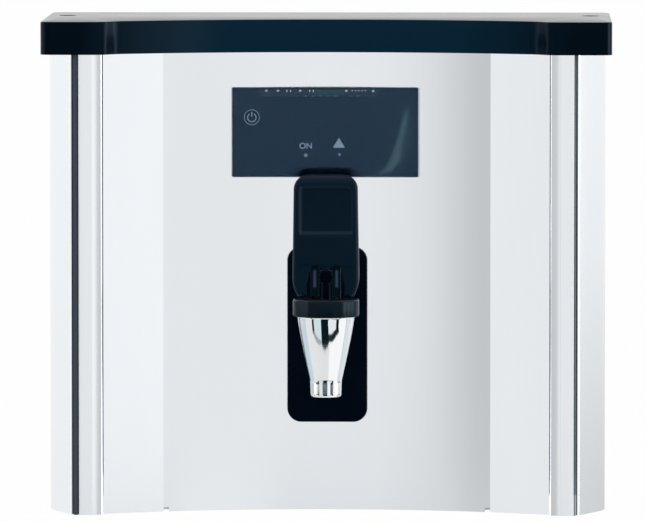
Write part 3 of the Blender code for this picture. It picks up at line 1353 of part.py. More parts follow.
def make_element():
    home = home_at("element_home", ELEMENT_X, -TANK_MIDDLE, TANK_BOTTOM)
    gasket_top = -GAP
    gasket_bottom = gasket_top - ELEMENT_GASKET
    gasket = piece("element_gasket", rod(ELEMENT_FLANGE_RADIUS, gasket_bottom, gasket_top),
                   "silicone", home)
    hole = ELEMENT_BOSS_RADIUS + ELEMENT_CLEARANCE
    cut(gasket, tool(rod(hole, gasket_bottom - OVERRUN, gasket_top + OVERRUN), home))
    flange_top = gasket_bottom - GAP
    flange_bottom = flange_top - ELEMENT_FLANGE_THICKNESS
    boss_top = TANK_WALL + ELEMENT_BOSS_HEIGHT
    points = [(0, boss_top), (ELEMENT_BOSS_RADIUS, boss_top), (ELEMENT_BOSS_RADIUS, flange_top),
              (ELEMENT_FLANGE_RADIUS, flange_top), (ELEMENT_FLANGE_RADIUS, flange_bottom),
              (0, flange_bottom)]
    element = turn(piece("heating_element", profile_mesh(points), "steel", home))
    for loop in (-1, 1):
        x = loop * ELEMENT_LOOP_SPACING / 2
        leg = ELEMENT_LEG_SPACING / 2
        crown = ELEMENT_LOOP_HEIGHT - leg
        bend = arc(0, crown, leg, math.pi, 0, 10)
        route = [(x, -leg, boss_top - ELEMENT_TUBE_RADIUS)] + [(x, y, z) for y, z in bend]
        route.append((x, leg, boss_top - ELEMENT_TUBE_RADIUS))
        join(element, tool(solid_tube(route, ELEMENT_TUBE_RADIUS, 1), home))
        half = ELEMENT_TAG_THICKNESS / 2
        wide = ELEMENT_TAG_WIDTH / 2
        tag = (flange_bottom - ELEMENT_TAG_HEIGHT, flange_bottom + ELEMENT_TAG_THICKNESS)
        join(element, tool(box((x - half, x + half), (-wide, wide), tag), home))
    nut_bottom = TANK_WALL + GAP
    nut_top = nut_bottom + ELEMENT_NUT_THICKNESS
    nut = piece("element_nut", outline(hexagon(ELEMENT_NUT_FLATS), nut_bottom, nut_top), "brass", home)
    cut(nut, tool(rod(hole, nut_bottom - OVERRUN, nut_bottom + OVERRUN), home))


def probe_places():
    return [PROBE_BLOCK_X + PROBE_SPACING * step for step in (-1, 0, 1)]


def make_probes():
    half = PROBE_BLOCK_LENGTH / 2
    bottom = TANK_LID_TOP + GAP
    top = bottom + PROBE_BLOCK_HEIGHT
    wide = PROBE_BLOCK_WIDTH / 2
    block = piece("probe_block", box((PROBE_BLOCK_X - half, PROBE_BLOCK_X + half),
                                     (-TANK_MIDDLE - wide, wide - TANK_MIDDLE), (bottom, top)),
                  "white_nylon")
    for order, (x, level) in enumerate(zip(probe_places(), ("low", "normal", "high"))):
        cut(block, tool(rod(PROBE_RADIUS + PROBE_CLEARANCE, bottom - OVERRUN, top + OVERRUN, "Z", x,
                            -TANK_MIDDLE, steps=SMALL_STEPS)))
        length = PROBE_SHORT + PROBE_STEP * (2 - order)
        piece("level_probe_" + level, rod(PROBE_RADIUS, TANK_LID_BOTTOM - length, top + PROBE_STICK, "Z", x,
                                          -TANK_MIDDLE, steps=SMALL_STEPS), "steel")
    home = home_at("sensor_home", SENSOR_X, -TANK_MIDDLE, TANK_LID_TOP + GAP)
    sensor = piece("temperature_probe", outline(hexagon(SENSOR_HEX), 0, SENSOR_HEX_HEIGHT), "brass", home)
    join(sensor, tool(rod(SENSOR_RADIUS, -SENSOR_LENGTH, SENSOR_HEX_HEIGHT + SENSOR_RADIUS,
                          steps=SMALL_STEPS), home))


# Inlet

def make_inlet_valve():
    home = home_at("valve_home", VALVE_X, -VALVE_DEPTH, BASE_TOP + GAP)
    body_top = VALVE_BODY_HEIGHT
    guide_top = body_top + GUIDE_HEIGHT
    bottom = -BASE_SHEET - GAP - INLET_DROP
    outside = [(0, guide_top), (GUIDE_RADIUS, guide_top), (GUIDE_RADIUS, body_top),
               (VALVE_BODY_RADIUS, body_top), (VALVE_BODY_RADIUS, VALVE_FLANGE_THICKNESS),
               (VALVE_FLANGE_RADIUS, VALVE_FLANGE_THICKNESS),
               (VALVE_FLANGE_RADIUS, 0), (INLET_RADIUS, 0), (INLET_RADIUS, bottom)]
    seat_top = VALVE_SEAT_HEIGHT + VALVE_SEAT_THICKNESS
    room_top = seat_top + VALVE_ROOM_HEIGHT
    bore_top = guide_top - GUIDE_CAP
    inside = [(INLET_BORE, bottom), (INLET_BORE, VALVE_SEAT_HEIGHT), (VALVE_SEAT_BORE, VALVE_SEAT_HEIGHT),
              (VALVE_SEAT_BORE, seat_top), (VALVE_ROOM_RADIUS, seat_top), (VALVE_ROOM_RADIUS, room_top),
              (GUIDE_BORE, room_top), (GUIDE_BORE, bore_top), (0, bore_top)]
    body = turn(piece("inlet_valve_body", profile_mesh(outside + inside), "white_nylon", home))
    barb_height = (seat_top + room_top) / 2
    tip = -VALVE_BODY_RADIUS - BARB_LENGTH
    root = -(VALVE_ROOM_RADIUS + VALVE_BODY_RADIUS) / 2
    join(body, tool(rod(BARB_RADIUS, tip, root, "Y", 0, barb_height, steps=SMALL_STEPS), home))
    cut(body, tool(rod(BARB_BORE, tip - OVERRUN, -VALVE_ROOM_RADIUS / 2, "Y", 0, barb_height,
                       steps=SMALL_STEPS), home))
    make_plunger(home, seat_top + GAP, bore_top)
    coil_bottom = body_top + GAP
    coil_top = guide_top - GUIDE_CAP
    long, wide = COIL_LENGTH / 2, COIL_WIDTH / 2
    coil_plan = rectangle((-long, long), (-wide, wide), COIL_ROUND, 3)
    coil = piece("inlet_valve_coil", outline(coil_plan, coil_bottom, coil_top), "coil_black", home)
    cut(coil, tool(rod(GUIDE_RADIUS + GAP, coil_bottom - OVERRUN, coil_top + OVERRUN), home))
    make_fill_hose(home, tip, barb_height)


def make_plunger(home, low, bore_top):
    plunger_home = home_at("plunger_home", 0, 0, low, home)
    radius = GUIDE_BORE - PLUNGER_CLEARANCE
    piece("valve_plunger", rod(radius, 0, PLUNGER_LENGTH), "steel", plunger_home)
    spring_low = low + PLUNGER_LENGTH + GAP
    mean = radius - 2 * VALVE_SPRING_WIRE
    route = coil_route(mean, spring_low, bore_top - GAP, VALVE_SPRING_TURNS, VALVE_SPRING_WIRE, 8)
    piece("valve_spring", tube(route, VALVE_SPRING_WIRE, 1), "steel", home)


def make_fill_hose(home, tip, barb_height):
    """The hose leaves the valve to the front, climbs the left bay and drops on the tank lid."""
    bend = FILL_RADIUS * 5 / 2
    start = -VALVE_DEPTH - VALVE_BODY_RADIUS - GAP
    climb = start - BARB_LENGTH - bend
    low = BASE_TOP + GAP + barb_height
    landing = TANK_LID_TOP + GAP
    crest = landing + SPIGOT_HEIGHT + bend
    corners = [
        (VALVE_X, start, low),
        (VALVE_X, climb, low),
        (VALVE_X, climb, crest),
        (FILL_X, -FILL_DEPTH, crest),
        (FILL_X, -FILL_DEPTH, landing),
    ]
    route = bent_route(corners, bend)
    hose = piece("fill_hose", solid_tube(route, FILL_RADIUS), "silicone")
    cut(hose, tool(solid_tube(stretched_route(route), FILL_BORE)))


def stretched_route(route):
    """The same route with its two ends run on past the hose."""
    first, second = Vector(route[0]), Vector(route[1])
    last, before = Vector(route[-1]), Vector(route[-2])
    start = first + (first - second).normalized() * BARB_LENGTH
    end = last + (last - before).normalized() * BARB_LENGTH
    return [tuple(start)] + list(route[1:-1]) + [tuple(end)]


def make_vent_pipe():
    """Steam from the tank lid is led down through the base."""
    bend = VENT_RADIUS * 2
    landing = TANK_LID_TOP + GAP
    crest = landing + SPIGOT_HEIGHT + bend
    corners = [
        (VENT_X, -VENT_DEPTH, landing),
        (VENT_X, -VENT_DEPTH, crest),
        (VENT_DROP_X, -VENT_DROP_DEPTH, crest),
        (VENT_DROP_X, -VENT_DROP_DEPTH, BASE_HEIGHT - PIPE_DROP),
    ]
    route = bent_route(corners, bend)
    pipe = piece("vent_pipe", solid_tube(route, VENT_RADIUS), "silicone")
    cut(pipe, tool(solid_tube(stretched_route(route), VENT_BORE)))


# Electrics

def make_cutout():
    home = home_at("cutout_home", CUTOUT_X, -CUTOUT_DEPTH, BASE_TOP + GAP)
    half_x = CUTOUT_LENGTH / 2
    half_y = CUTOUT_WIDTH / 2
    plan = rectangle((-half_x, half_x), (-half_y, half_y), CUTOUT_ROUND, 2)
    cutout = piece("thermal_cutout", outline(plan, 0, CUTOUT_HEIGHT), "coil_black", home)
    bottom = -BASE_SHEET - GAP - BUSHING_DROP
    join(cutout, tool(rod(BUSHING_RADIUS, bottom, CUTOUT_ROUND), home))
    button_bottom = bottom - RESET_STICK
    button_top = button_bottom + RESET_LENGTH
    room_top = button_top + RESET_ROOM
    cut(cutout, tool(rod(RESET_RADIUS + RESET_CLEARANCE, bottom - OVERRUN, room_top), home))
    button_home = home_at("reset_home", 0, 0, button_bottom, home)
    piece("reset_button", rod(RESET_RADIUS, 0, RESET_LENGTH), "red_plastic", button_home)
    mean = RESET_RADIUS - 2 * RESET_SPRING_WIRE
    route = coil_route(mean, button_top + GAP, room_top - GAP, RESET_SPRING_TURNS, RESET_SPRING_WIRE, 8)
    piece("reset_spring", tube(route, RESET_SPRING_WIRE, 1), "steel", home)


def make_gland():
    home = home_at("gland_home", GLAND_X, -GLAND_DEPTH, BASE_HEIGHT)
    cap_top = -GAP
    cap_bottom = cap_top - GLAND_CAP_HEIGHT
    top = BASE_SHEET + GLAND_STEM_HEIGHT
    outside = [(GLAND_BORE, top), (GLAND_RADIUS, top), (GLAND_RADIUS, cap_top),
               (GLAND_FLANGE_RADIUS, cap_top), (GLAND_FLANGE_RADIUS, cap_bottom / 2),
               (GLAND_RADIUS, cap_bottom), (GLAND_BORE, cap_bottom)]
    turn(piece("cable_gland", profile_mesh(outside, closed=True), "coil_black", home))


def make_board_bracket(outer, face):
    """A shallow channel on the right side panel, with four posts for the board."""
    back = -CARRIER_BACK
    front = back - CARRIER_LENGTH
    lips = [(outer, front - CARRIER_LIP), (outer, front), (face, front),
            (face, back), (outer, back), (outer, back + CARRIER_LIP)]
    top = CARRIER_BOTTOM + CARRIER_HEIGHT
    return piece("board_bracket", outline(band(lips, 0, CARRIER_SHEET), CARRIER_BOTTOM, top), "zinc")


def make_electrics():
    outer = BODY_HALF - SHEET - GAP
    face = outer - CARRIER_OFFSET
    carrier = make_board_bracket(outer, face)
    middle = -CARRIER_BACK - CARRIER_LENGTH / 2
    mounting = face - CARRIER_SHEET
    board_back = mounting - MAIN_BOARD_STANDOFF
    board_front = board_back - MAIN_BOARD_THICKNESS
    half = MAIN_BOARD_LENGTH / 2
    top = MAIN_BOARD_BOTTOM + MAIN_BOARD_HEIGHT
    for y in (middle - half + STANDOFF_INSET, middle + half - STANDOFF_INSET):
        for z in (MAIN_BOARD_BOTTOM + STANDOFF_INSET, top - STANDOFF_INSET):
            join(carrier, tool(rod(STANDOFF_RADIUS, board_back + GAP, face - CARRIER_SHEET / 2, "X", y, z,
                                   steps=SMALL_STEPS)))
    board = box((board_front, board_back), (middle - half, middle + half), (MAIN_BOARD_BOTTOM, top))
    piece("main_board", board, "circuit_board")
    make_terminal_block(mounting - GAP, middle)


def make_terminal_block(back, middle):
    half = TERMINAL_LENGTH / 2
    plan = rectangle((back - TERMINAL_WIDTH, back), (middle - half, middle + half), TERMINAL_ROUND, 2)
    block = piece("terminal_block", outline(plan, TERMINAL_BOTTOM, TERMINAL_BOTTOM + TERMINAL_HEIGHT),
                  "white_nylon")
    pitch = TERMINAL_LENGTH / TERMINAL_WAYS
    for way in range(TERMINAL_WAYS):
        y = middle + pitch * (way - (TERMINAL_WAYS - 1) / 2)
        cut(block, tool(rod(TERMINAL_BORE, TERMINAL_BOTTOM - OVERRUN, TERMINAL_BOTTOM + OVERRUN, "Z",
                            back - TERMINAL_WIDTH / 2, y, steps=SMALL_STEPS)))


def build():
    global PARTS, TOOLS, ROOT
    clear_scene()
    PARTS = new_collection("wall_water_boiler")
    TOOLS = new_collection("cutters")
    ROOT = home_at("wall_point", 0, 0, -KEYHOLE_HEIGHT)
    make_front_cover()
    make_posts_and_sides()
    make_back_panel()
    make_base_plate()
    make_lid()
    make_display()
    make_tap()
    make_tank()
    make_element()
    make_probes()
    make_inlet_valve()
    make_vent_pipe()
    make_cutout()
    make_gland()
    make_electrics()


build()
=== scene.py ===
# %% [markdown]
# # A wall mounted water boiler, dressed for its picture
# The boiler is a folded stainless casing with a dished front, a black moulded lid, a touch display
# behind smoked glass and a chrome tap with a long black lever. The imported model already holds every
# solid in its real place. This file adds what a picture needs on top of it: a camera, a plain studio,
# a finish for every piece, and finer versions of the pieces that the eye rests on.

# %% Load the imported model
import json
import math

import bmesh
import bpy
from mathutils import Matrix, Vector


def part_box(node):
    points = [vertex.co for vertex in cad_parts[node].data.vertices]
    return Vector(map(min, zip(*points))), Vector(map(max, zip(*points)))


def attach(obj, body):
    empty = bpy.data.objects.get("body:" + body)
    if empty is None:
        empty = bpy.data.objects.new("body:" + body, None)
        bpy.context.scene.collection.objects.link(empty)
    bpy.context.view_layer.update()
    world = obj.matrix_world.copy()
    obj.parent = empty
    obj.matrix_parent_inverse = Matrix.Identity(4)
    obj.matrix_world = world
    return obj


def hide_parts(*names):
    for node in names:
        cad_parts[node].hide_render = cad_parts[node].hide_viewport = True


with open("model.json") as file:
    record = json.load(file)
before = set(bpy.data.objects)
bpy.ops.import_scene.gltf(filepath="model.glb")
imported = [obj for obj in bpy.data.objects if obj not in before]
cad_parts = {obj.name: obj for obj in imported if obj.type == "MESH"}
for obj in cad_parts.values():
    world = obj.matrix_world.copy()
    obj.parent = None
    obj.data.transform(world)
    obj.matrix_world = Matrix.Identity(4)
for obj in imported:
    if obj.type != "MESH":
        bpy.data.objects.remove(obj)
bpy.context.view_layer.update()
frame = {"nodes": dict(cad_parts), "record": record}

# %% [markdown]
# ## The camera
# The object was photographed from about six metres with a long lens, held a little above the lid and
# looking down by four degrees. The distance, the height and the lens were worked out from the lid, whose
# top just shows, and from the two sides of the casing, which slant in towards the front. A long lens
# keeps the verticals parallel, so no shift is needed.

# %% Camera
camera = bpy.data.objects.new("camera", bpy.data.cameras.new("camera"))
camera.location = (0.12080, -6.05034, 0.29059)
camera.rotation_euler = (math.radians(86), 0, math.radians(1.2))
camera.data.lens = 470.4
camera.data.sensor_width = 36
camera.data.clip_end = 80
bpy.context.scene.collection.objects.link(camera)
bpy.context.scene.camera = camera
bpy.context.scene.view_settings.view_transform = "Standard"
print("camera stands", round(-camera.location.y, 2), "m in front of the wall")

# %% [markdown]
# ## Writing shader maths as Python
# A finish is a small network of nodes. Adding each node by hand is long to read, so one class wraps an
# output socket and lets it be added, multiplied and compared like a number. Everything else, from noise
# to bump, comes through its one `node` method, which takes the node's type, its settings, and the values
# or wires of its sockets.

# %% Wires
class Wire:
    """An output socket of a material, on which plain arithmetic adds Math nodes."""

    def __init__(self, socket):
        self.socket = socket

    def node(self, kind, settings=None, inputs=None, out=0):
        tree = self.socket.id_data
        made = tree.nodes.new(kind)
        for name, value in (settings or {}).items():
            if name == "stops":
                while len(made.color_ramp.elements) < len(value):
                    made.color_ramp.elements.new(1.0)
                for stop, (place, colour) in zip(made.color_ramp.elements, value):
                    stop.position = place
                    stop.color = (*colour, 1)
            else:
                setattr(made, name, value)
        for name, value in (inputs or {}).items():
            if isinstance(value, Wire):
                tree.links.new(value.socket, made.inputs[name])
            else:
                made.inputs[name].default_value = value
        return Wire(made.outputs[out])

    def sum_with(self, operation, first, second=0.0, clamp=False):
        settings = {"operation": operation, "use_clamp": clamp}
        return self.node("ShaderNodeMath", settings, {0: first, 1: second})

    def __add__(self, other):
        return self.sum_with("ADD", self, other)

    __radd__ = __add__

    def __sub__(self, other):
        return self.sum_with("SUBTRACT", self, other)

    def __rsub__(self, other):
        return self.sum_with("SUBTRACT", other, self)

    def __mul__(self, other):
        return self.sum_with("MULTIPLY", self, other)

    __rmul__ = __mul__

    def __truediv__(self, other):
        return self.sum_with("DIVIDE", self, other)

    def __abs__(self):
        return self.sum_with("ABSOLUTE", self)

    def __gt__(self, other):
        return self.sum_with("GREATER_THAN", self, other)

    def __lt__(self, other):
        return self.sum_with("LESS_THAN", self, other)

    def clamped(self):
        return self.sum_with("ADD", self, 0.0, True)


def mixed(mask, plain, other):
    """A colour that goes from plain to other as the mask goes from 0 to 1."""
    colours = [(*c, 1) if isinstance(c, tuple) else c for c in (plain, other)]
    return mask.node("ShaderNodeMix", {"data_type": "RGBA"}, {0: mask, 6: colours[0], 7: colours[1]}, out=2)


def stretched_place(spot, x, y, z):
    """The same place, counted in cells of another size along each axis."""
    return spot.node("ShaderNodeVectorMath", {"operation": "MULTIPLY"}, {0: spot, 1: (x, y, z)})


def noise(spot, x, y, z, detail=3.0, roughness=0.55):
    return spot.node("ShaderNodeTexNoise", None, {"Vector": stretched_place(spot, x, y, z), "Scale": 1.0,
                                                  "Detail": detail, "Roughness": roughness})


def split(spot):
    """The three coordinates of a place as three wires."""
    parts = spot.node("ShaderNodeSeparateXYZ", None, {0: spot}).socket.node
    return [Wire(parts.outputs[index]) for index in range(3)]


print("wire helpers ready")

# %% [markdown]
# ## Starting a finish
# Every finish starts from the same shader. What is the same all over the piece, such as its metalness or
# its coat, is set on the shader's own sockets. What changes over the surface is fed in by wires. The wire
# that a finish grows from is the object coordinate, in metres, because the pieces need no unwrapping and
# a pattern rides along when a piece moves.

# %% Finish starter
class Finish:
    """A material, its shader, and the wire that says where a point lies on the piece."""

    def __init__(self, name, colour, roughness, metallic=0.0, **constants):
        self.material = bpy.data.materials.new(name)
        self.material.use_nodes = True
        self.shader = self.material.node_tree.nodes["Principled BSDF"]
        self.set("Base Color", (*colour, 1))
        self.set("Roughness", roughness)
        self.set("Metallic", metallic)
        for socket, value in constants.items():
            self.set(socket.replace("_", " "), value)
        place = self.material.node_tree.nodes.new("ShaderNodeTexCoord")
        self.spot = Wire(place.outputs["Object"])
        self.material.diffuse_color = (*colour, 1)

    def set(self, socket, value):
        self.shader.inputs[socket].default_value = value

    def feed(self, socket, wire):
        self.material.node_tree.links.new(wire.socket, self.shader.inputs[socket])

    def relief(self, height, depth):
        """A bump of the given depth in metres."""
        self.feed("Normal", height.node("ShaderNodeBump", None, {"Height": height, "Strength": 1.0,
                                                                 "Distance": depth}))


print("finish starter ready")

# %% [markdown]
# ## Sheet metal
# The casing is brushed stainless sheet. Its grain runs up and down, so a reflection smears sideways and
# stays sharp in height. That is what anisotropy does, so it carries the brushing, and a very fine noise
# drawn out along the grain varies the gloss a little. The zinc-plated sheet of the back and the brackets
# is duller and shows the spangle of its coating, which Voronoi cells copy well.

# %% Metals
def brushed_steel(name, colour, gloss, depth):
    finish = Finish(name, colour, gloss, 1.0, Anisotropic=0.6)
    grain = noise(finish.spot, 2600, 2600, 22, 2.0)
    haze = noise(finish.spot, 14, 14, 5, 2.0)
    tone = tuple(share * 0.93 for share in colour)
    finish.feed("Base Color", mixed((grain * 0.35 + haze * 0.3).clamped(), colour, tone))
    finish.feed("Roughness", gloss - 0.02 + grain * 0.03 + haze * 0.02)
    finish.relief(grain, depth)
    return finish.material


def zinc_plate(name):
    finish = Finish(name, (0.60, 0.62, 0.64), 0.42, 1.0)
    cells = finish.spot.node("ShaderNodeTexVoronoi", None, {"Vector": finish.spot, "Scale": 160.0}, out=1)
    tone = split(cells)[0]
    scuff = noise(finish.spot, 90, 90, 90)
    finish.feed("Base Color", mixed(tone, (0.54, 0.56, 0.58), (0.66, 0.68, 0.70)))
    finish.feed("Roughness", 0.34 + tone * 0.12 + scuff * 0.08)
    finish.relief(scuff, 0.00003)
    return finish.material


def polished_metal(name, colour, gloss):
    finish = Finish(name, colour, gloss, 1.0)
    smear = noise(finish.spot, 60, 60, 60)
    fine = noise(finish.spot, 900, 900, 900, 1.0)
    dim = tuple(share * 0.94 for share in colour)
    finish.feed("Base Color", mixed(smear * 0.5, colour, dim))
    finish.feed("Roughness", gloss + smear * 0.025)
    finish.relief(fine, 0.0000015)
    return finish.material


def turned_metal(name, colour, gloss):
    """Bar stock as it leaves the lathe, with the tool's rings round it."""
    finish = Finish(name, colour, gloss, 1.0)
    rings = noise(finish.spot, 60, 60, 4200, 1.0)
    smear = noise(finish.spot, 120, 120, 120)
    dim = tuple(share * 0.82 for share in colour)
    finish.feed("Base Color", mixed(smear, colour, dim))
    finish.feed("Roughness", gloss + rings * 0.12 + smear * 0.06)
    finish.relief(rings, 0.000012)
    return finish.material


print("metals ready")

# %% [markdown]
# ## Plastics, rubber and the rest
# Moulded plastic has a fine spark-eroded grain, a slight change of gloss where it has been handled, and
# almost no colour change. The black parts of this object are a deep blue black with a weak highlight, so
# their specular level is low and slightly blue. Rubber and silicone are softer and duller. The jacket is
# open-cell foam, and the boards are green laminate with tracks under the lacquer.

# %% Plastics and soft materials
BLUE_TINT = (0.20, 0.55, 0.90)


def moulded(name, colour, gloss, level=0.5, tint=(1, 1, 1), grain_depth=0.00001, coat=0.0):
    finish = Finish(name, colour, gloss, Specular_IOR_Level=level, Specular_Tint=(*tint, 1),
                    Coat_Weight=coat, Coat_Roughness=0.05)
    grain = noise(finish.spot, 1500, 1500, 1500, 2.0)
    wear = noise(finish.spot, 38, 38, 38, 4.0, 0.6)
    worn = tuple(min(share * 1.25 + 0.0012, 1) for share in colour)
    finish.feed("Base Color", mixed((wear * 1.6 - 0.45).clamped(), colour, worn))
    finish.feed("Roughness", gloss - 0.04 + wear * 0.08 + grain * 0.03)
    finish.relief(grain, grain_depth)
    return finish.material


def lid_moulding(name):
    """Gloss black with painted reflection: both ends painted a darker blue and a stretch on the left painted lighter.
    """
    finish = Finish(name, (0.0010, 0.0080, 0.0190), 0.16, Specular_IOR_Level=0.09,
                    Specular_Tint=(*BLUE_TINT, 1))
    wear = noise(finish.spot, 38, 38, 38, 4.0, 0.6)
    x, y, z = split(finish.spot)
    # Painted reflection: the ends mask darkens both ends and the left mask lightens a stretch on the left.
    ends = ((abs(x) - 0.095) * 13.0).clamped()
    left = ((x * -1 - 0.07) * 30.0).clamped()
    middle = mixed(left, (0.0020, 0.0135, 0.0270), (0.0075, 0.0190, 0.0330))
    finish.feed("Base Color", mixed(ends, middle, (0.0002, 0.0010, 0.0030)))
    finish.feed("Roughness", 0.12 + wear * 0.08)
    finish.relief(noise(finish.spot, 1500, 1500, 1500, 2.0), 0.000002)
    return finish.material


def printed_film(name):
    """Almost black ink on the back of a film, with painted light making it a shade lighter towards the top."""
    finish = Finish(name, (0.0008, 0.0020, 0.0060), 0.45, Specular_IOR_Level=0.05,
                    Specular_Tint=(*BLUE_TINT, 1))
    fine = noise(finish.spot, 900, 900, 900, 2.0)
    z = split(finish.spot)[2]
    # Painted light: the film's colour is painted lighter towards its top.
    rise = ((z + 0.064) * 18.0).clamped()
    finish.feed("Base Color", mixed(rise, (0.0006, 0.0018, 0.0060), (0.0050, 0.0080, 0.0120)))
    finish.feed("Roughness", 0.40 + fine * 0.10)
    return finish.material


def soft_rubber(name, colour, gloss):
    finish = Finish(name, colour, gloss, Specular_IOR_Level=0.35)
    bloom = noise(finish.spot, 220, 220, 220, 4.0)
    dusty = tuple(share * 0.8 + 0.02 for share in colour)
    finish.feed("Base Color", mixed(bloom, colour, dusty))
    finish.feed("Roughness", gloss + bloom * 0.12)
    finish.relief(bloom, 0.00004)
    return finish.material


def foam(name):
    finish = Finish(name, (0.10, 0.10, 0.11), 0.92, Specular_IOR_Level=0.2)
    cells = finish.spot.node("ShaderNodeTexVoronoi", {"feature": "DISTANCE_TO_EDGE"},
                             {"Vector": finish.spot, "Scale": 700.0})
    wall = (1 - cells * 6.0).clamped()
    finish.feed("Base Color", mixed(wall, (0.035, 0.035, 0.04), (0.16, 0.16, 0.17)))
    finish.relief(wall, 0.0004)
    return finish.material


def circuit_board(name):
    """Green laminate: wide ground areas, thin tracks and tinned pads."""
    finish = Finish(name, (0.010, 0.150, 0.075), 0.35, Coat_Weight=0.4, Coat_Roughness=0.15)
    x, y, z = split(finish.spot)
    across = x + y
    lanes = (noise(finish.spot, 260, 260, 60, 0.0) * 6.0)
    tracks = abs(lanes.sum_with("FRACT", lanes) - 0.5) < 0.16
    rows = abs((across * 190).sum_with("FRACT", across * 190) - 0.5) < 0.16
    lines = abs((z * 190).sum_with("FRACT", z * 190) - 0.5) < 0.16
    pads = rows * lines * (noise(finish.spot, 45, 45, 45, 0.0) > 0.52)
    laminate = mixed(tracks, (0.008, 0.120, 0.060), (0.014, 0.200, 0.100))
    finish.feed("Base Color", mixed(pads, laminate, (0.62, 0.64, 0.62)))
    finish.feed("Metallic", pads * 0.9)
    finish.relief(tracks + pads, 0.00004)
    return finish.material


print("plastics ready")

# %% [markdown]
# ## The finishes of this boiler
# One dictionary holds the finish of each material slot. The names are the slots of the record, so a
# later scene can repaint the part. The colours were read off the photograph and written as linear values.

# %% Slots
finishes = {
    "stainless": brushed_steel("stainless", (0.925, 0.955, 0.985), 0.115, 0.000002),
    "lid_black": lid_moulding("lid_black"),
    "seal_rubber": soft_rubber("seal_rubber", (0.022, 0.038, 0.060), 0.60),
    "black_plastic": moulded("black_plastic", (0.0006, 0.0034, 0.0080), 0.36, 0.20, BLUE_TINT, 0.000006),
    "overlay_film": printed_film("overlay_film"),
    "circuit_board": circuit_board("circuit_board"),
    "chrome": polished_metal("chrome", (0.93, 0.945, 0.955), 0.03),
    "steel": turned_metal("steel", (0.62, 0.63, 0.65), 0.20),
    "silicone": soft_rubber("silicone", (0.70, 0.70, 0.68), 0.42),
    "insulation": foam("insulation"),
    "zinc": zinc_plate("zinc"),
    "white_nylon": moulded("white_nylon", (0.78, 0.78, 0.74), 0.42, 0.5, (1, 1, 1), 0.00002),
    "coil_black": moulded("coil_black", (0.0040, 0.0050, 0.0070), 0.42, 0.25, (1, 1, 1), 0.00003),
    "brass": turned_metal("brass", (0.76, 0.57, 0.27), 0.24),
    "red_plastic": moulded("red_plastic", (0.56, 0.025, 0.018), 0.30, 0.5, (1, 1, 1), 0.000008),
}
glass = Finish("window_glass", (0.90, 0.93, 0.95), 0.02, Transmission_Weight=1.0, IOR=1.44,
               Specular_Tint=(0.30, 0.58, 1.0, 1.0))
smear = noise(glass.spot, 30, 30, 30, 3.0)
glass.feed("Roughness", 0.015 + smear * 0.004)
finishes["window_glass"] = glass.material

# %% [markdown]
# ## Dressing the nodes that stay
# Most of the solids already have the right shape, above all those inside. Each keeps its mesh and only
# gets the finish of its slot. The record says which slot a node belongs to.

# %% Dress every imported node
slot_of = {part["node"]: part["material_slot"] for part in frame["record"]["subparts"]}
for name, node in frame["nodes"].items():
    slot = slot_of[name]
    for place in node.material_slots:
        place.material = finishes[slot]
print("dressed", len(slot_of), "nodes")

# %% [markdown]
# ## Tools for making finer pieces
# The finer pieces come from four tools. A prism is an outline pulled up along one axis, with its rims
# rounded, and suits everything folded or moulded flat. A loft joins rings of points, a turned piece is a
# profile spun round its axis, and a drill is a straight round cutter. Boolean modifiers cut the holes, and
# `settle` turns the result into a plain mesh, so that nothing is left to compute later.

# %% Mesh tools
ORDERS = {"X": lambda u, v, w: (w, u, v), "Y": lambda u, v, w: (u, w, v), "Z": lambda u, v, w: (u, v, w)}


def object_from(shape, name, sharp=30):
    """A mesh object, shaded smooth, with edges above the given angle in degrees kept crisp."""
    bmesh.ops.recalc_face_normals(shape, faces=shape.faces)
    data = bpy.data.meshes.new(name)
    shape.to_mesh(data)
    shape.free()
    data.shade_smooth()
    data.set_sharp_from_angle(angle=math.radians(sharp))
    thing = bpy.data.objects.new(name, data)
    bpy.context.scene.collection.objects.link(thing)
    return thing


def prism(name, outline, low, high, axis="Z", rounding=0.0, segments=3, rims="both", sharp=30):
    shape = bmesh.new()
    order = ORDERS[axis]
    rows = [[shape.verts.new(order(u, v, w)) for u, v in outline] for w in (low, high)]
    caps = [shape.faces.new(row) for row in rows]
    for index in range(len(outline)):
        after = (index + 1) % len(outline)
        shape.faces.new((rows[0][index], rows[0][after], rows[1][after], rows[1][index]))
    bmesh.ops.recalc_face_normals(shape, faces=shape.faces)
    if rounding:
        chosen = {"low": caps[:1], "high": caps[1:], "both": caps}[rims]
        edges = [edge for cap in chosen for edge in cap.edges]
        bmesh.ops.bevel(shape, geom=edges, offset=rounding, offset_type="OFFSET", segments=segments,
                        profile=0.5, affect="EDGES", clamp_overlap=True)
    return object_from(shape, name, sharp)


def loft(name, rings, sharp=30):
    shape = bmesh.new()
    rows = [[shape.verts.new(spot) for spot in ring] for ring in rings]
    for low, high in zip(rows, rows[1:]):
        for index in range(len(low)):
            after = (index + 1) % len(low)
            shape.faces.new((low[index], low[after], high[after], high[index]))
    shape.faces.new(list(reversed(rows[0])))
    shape.faces.new(rows[-1])
    return object_from(shape, name, sharp)


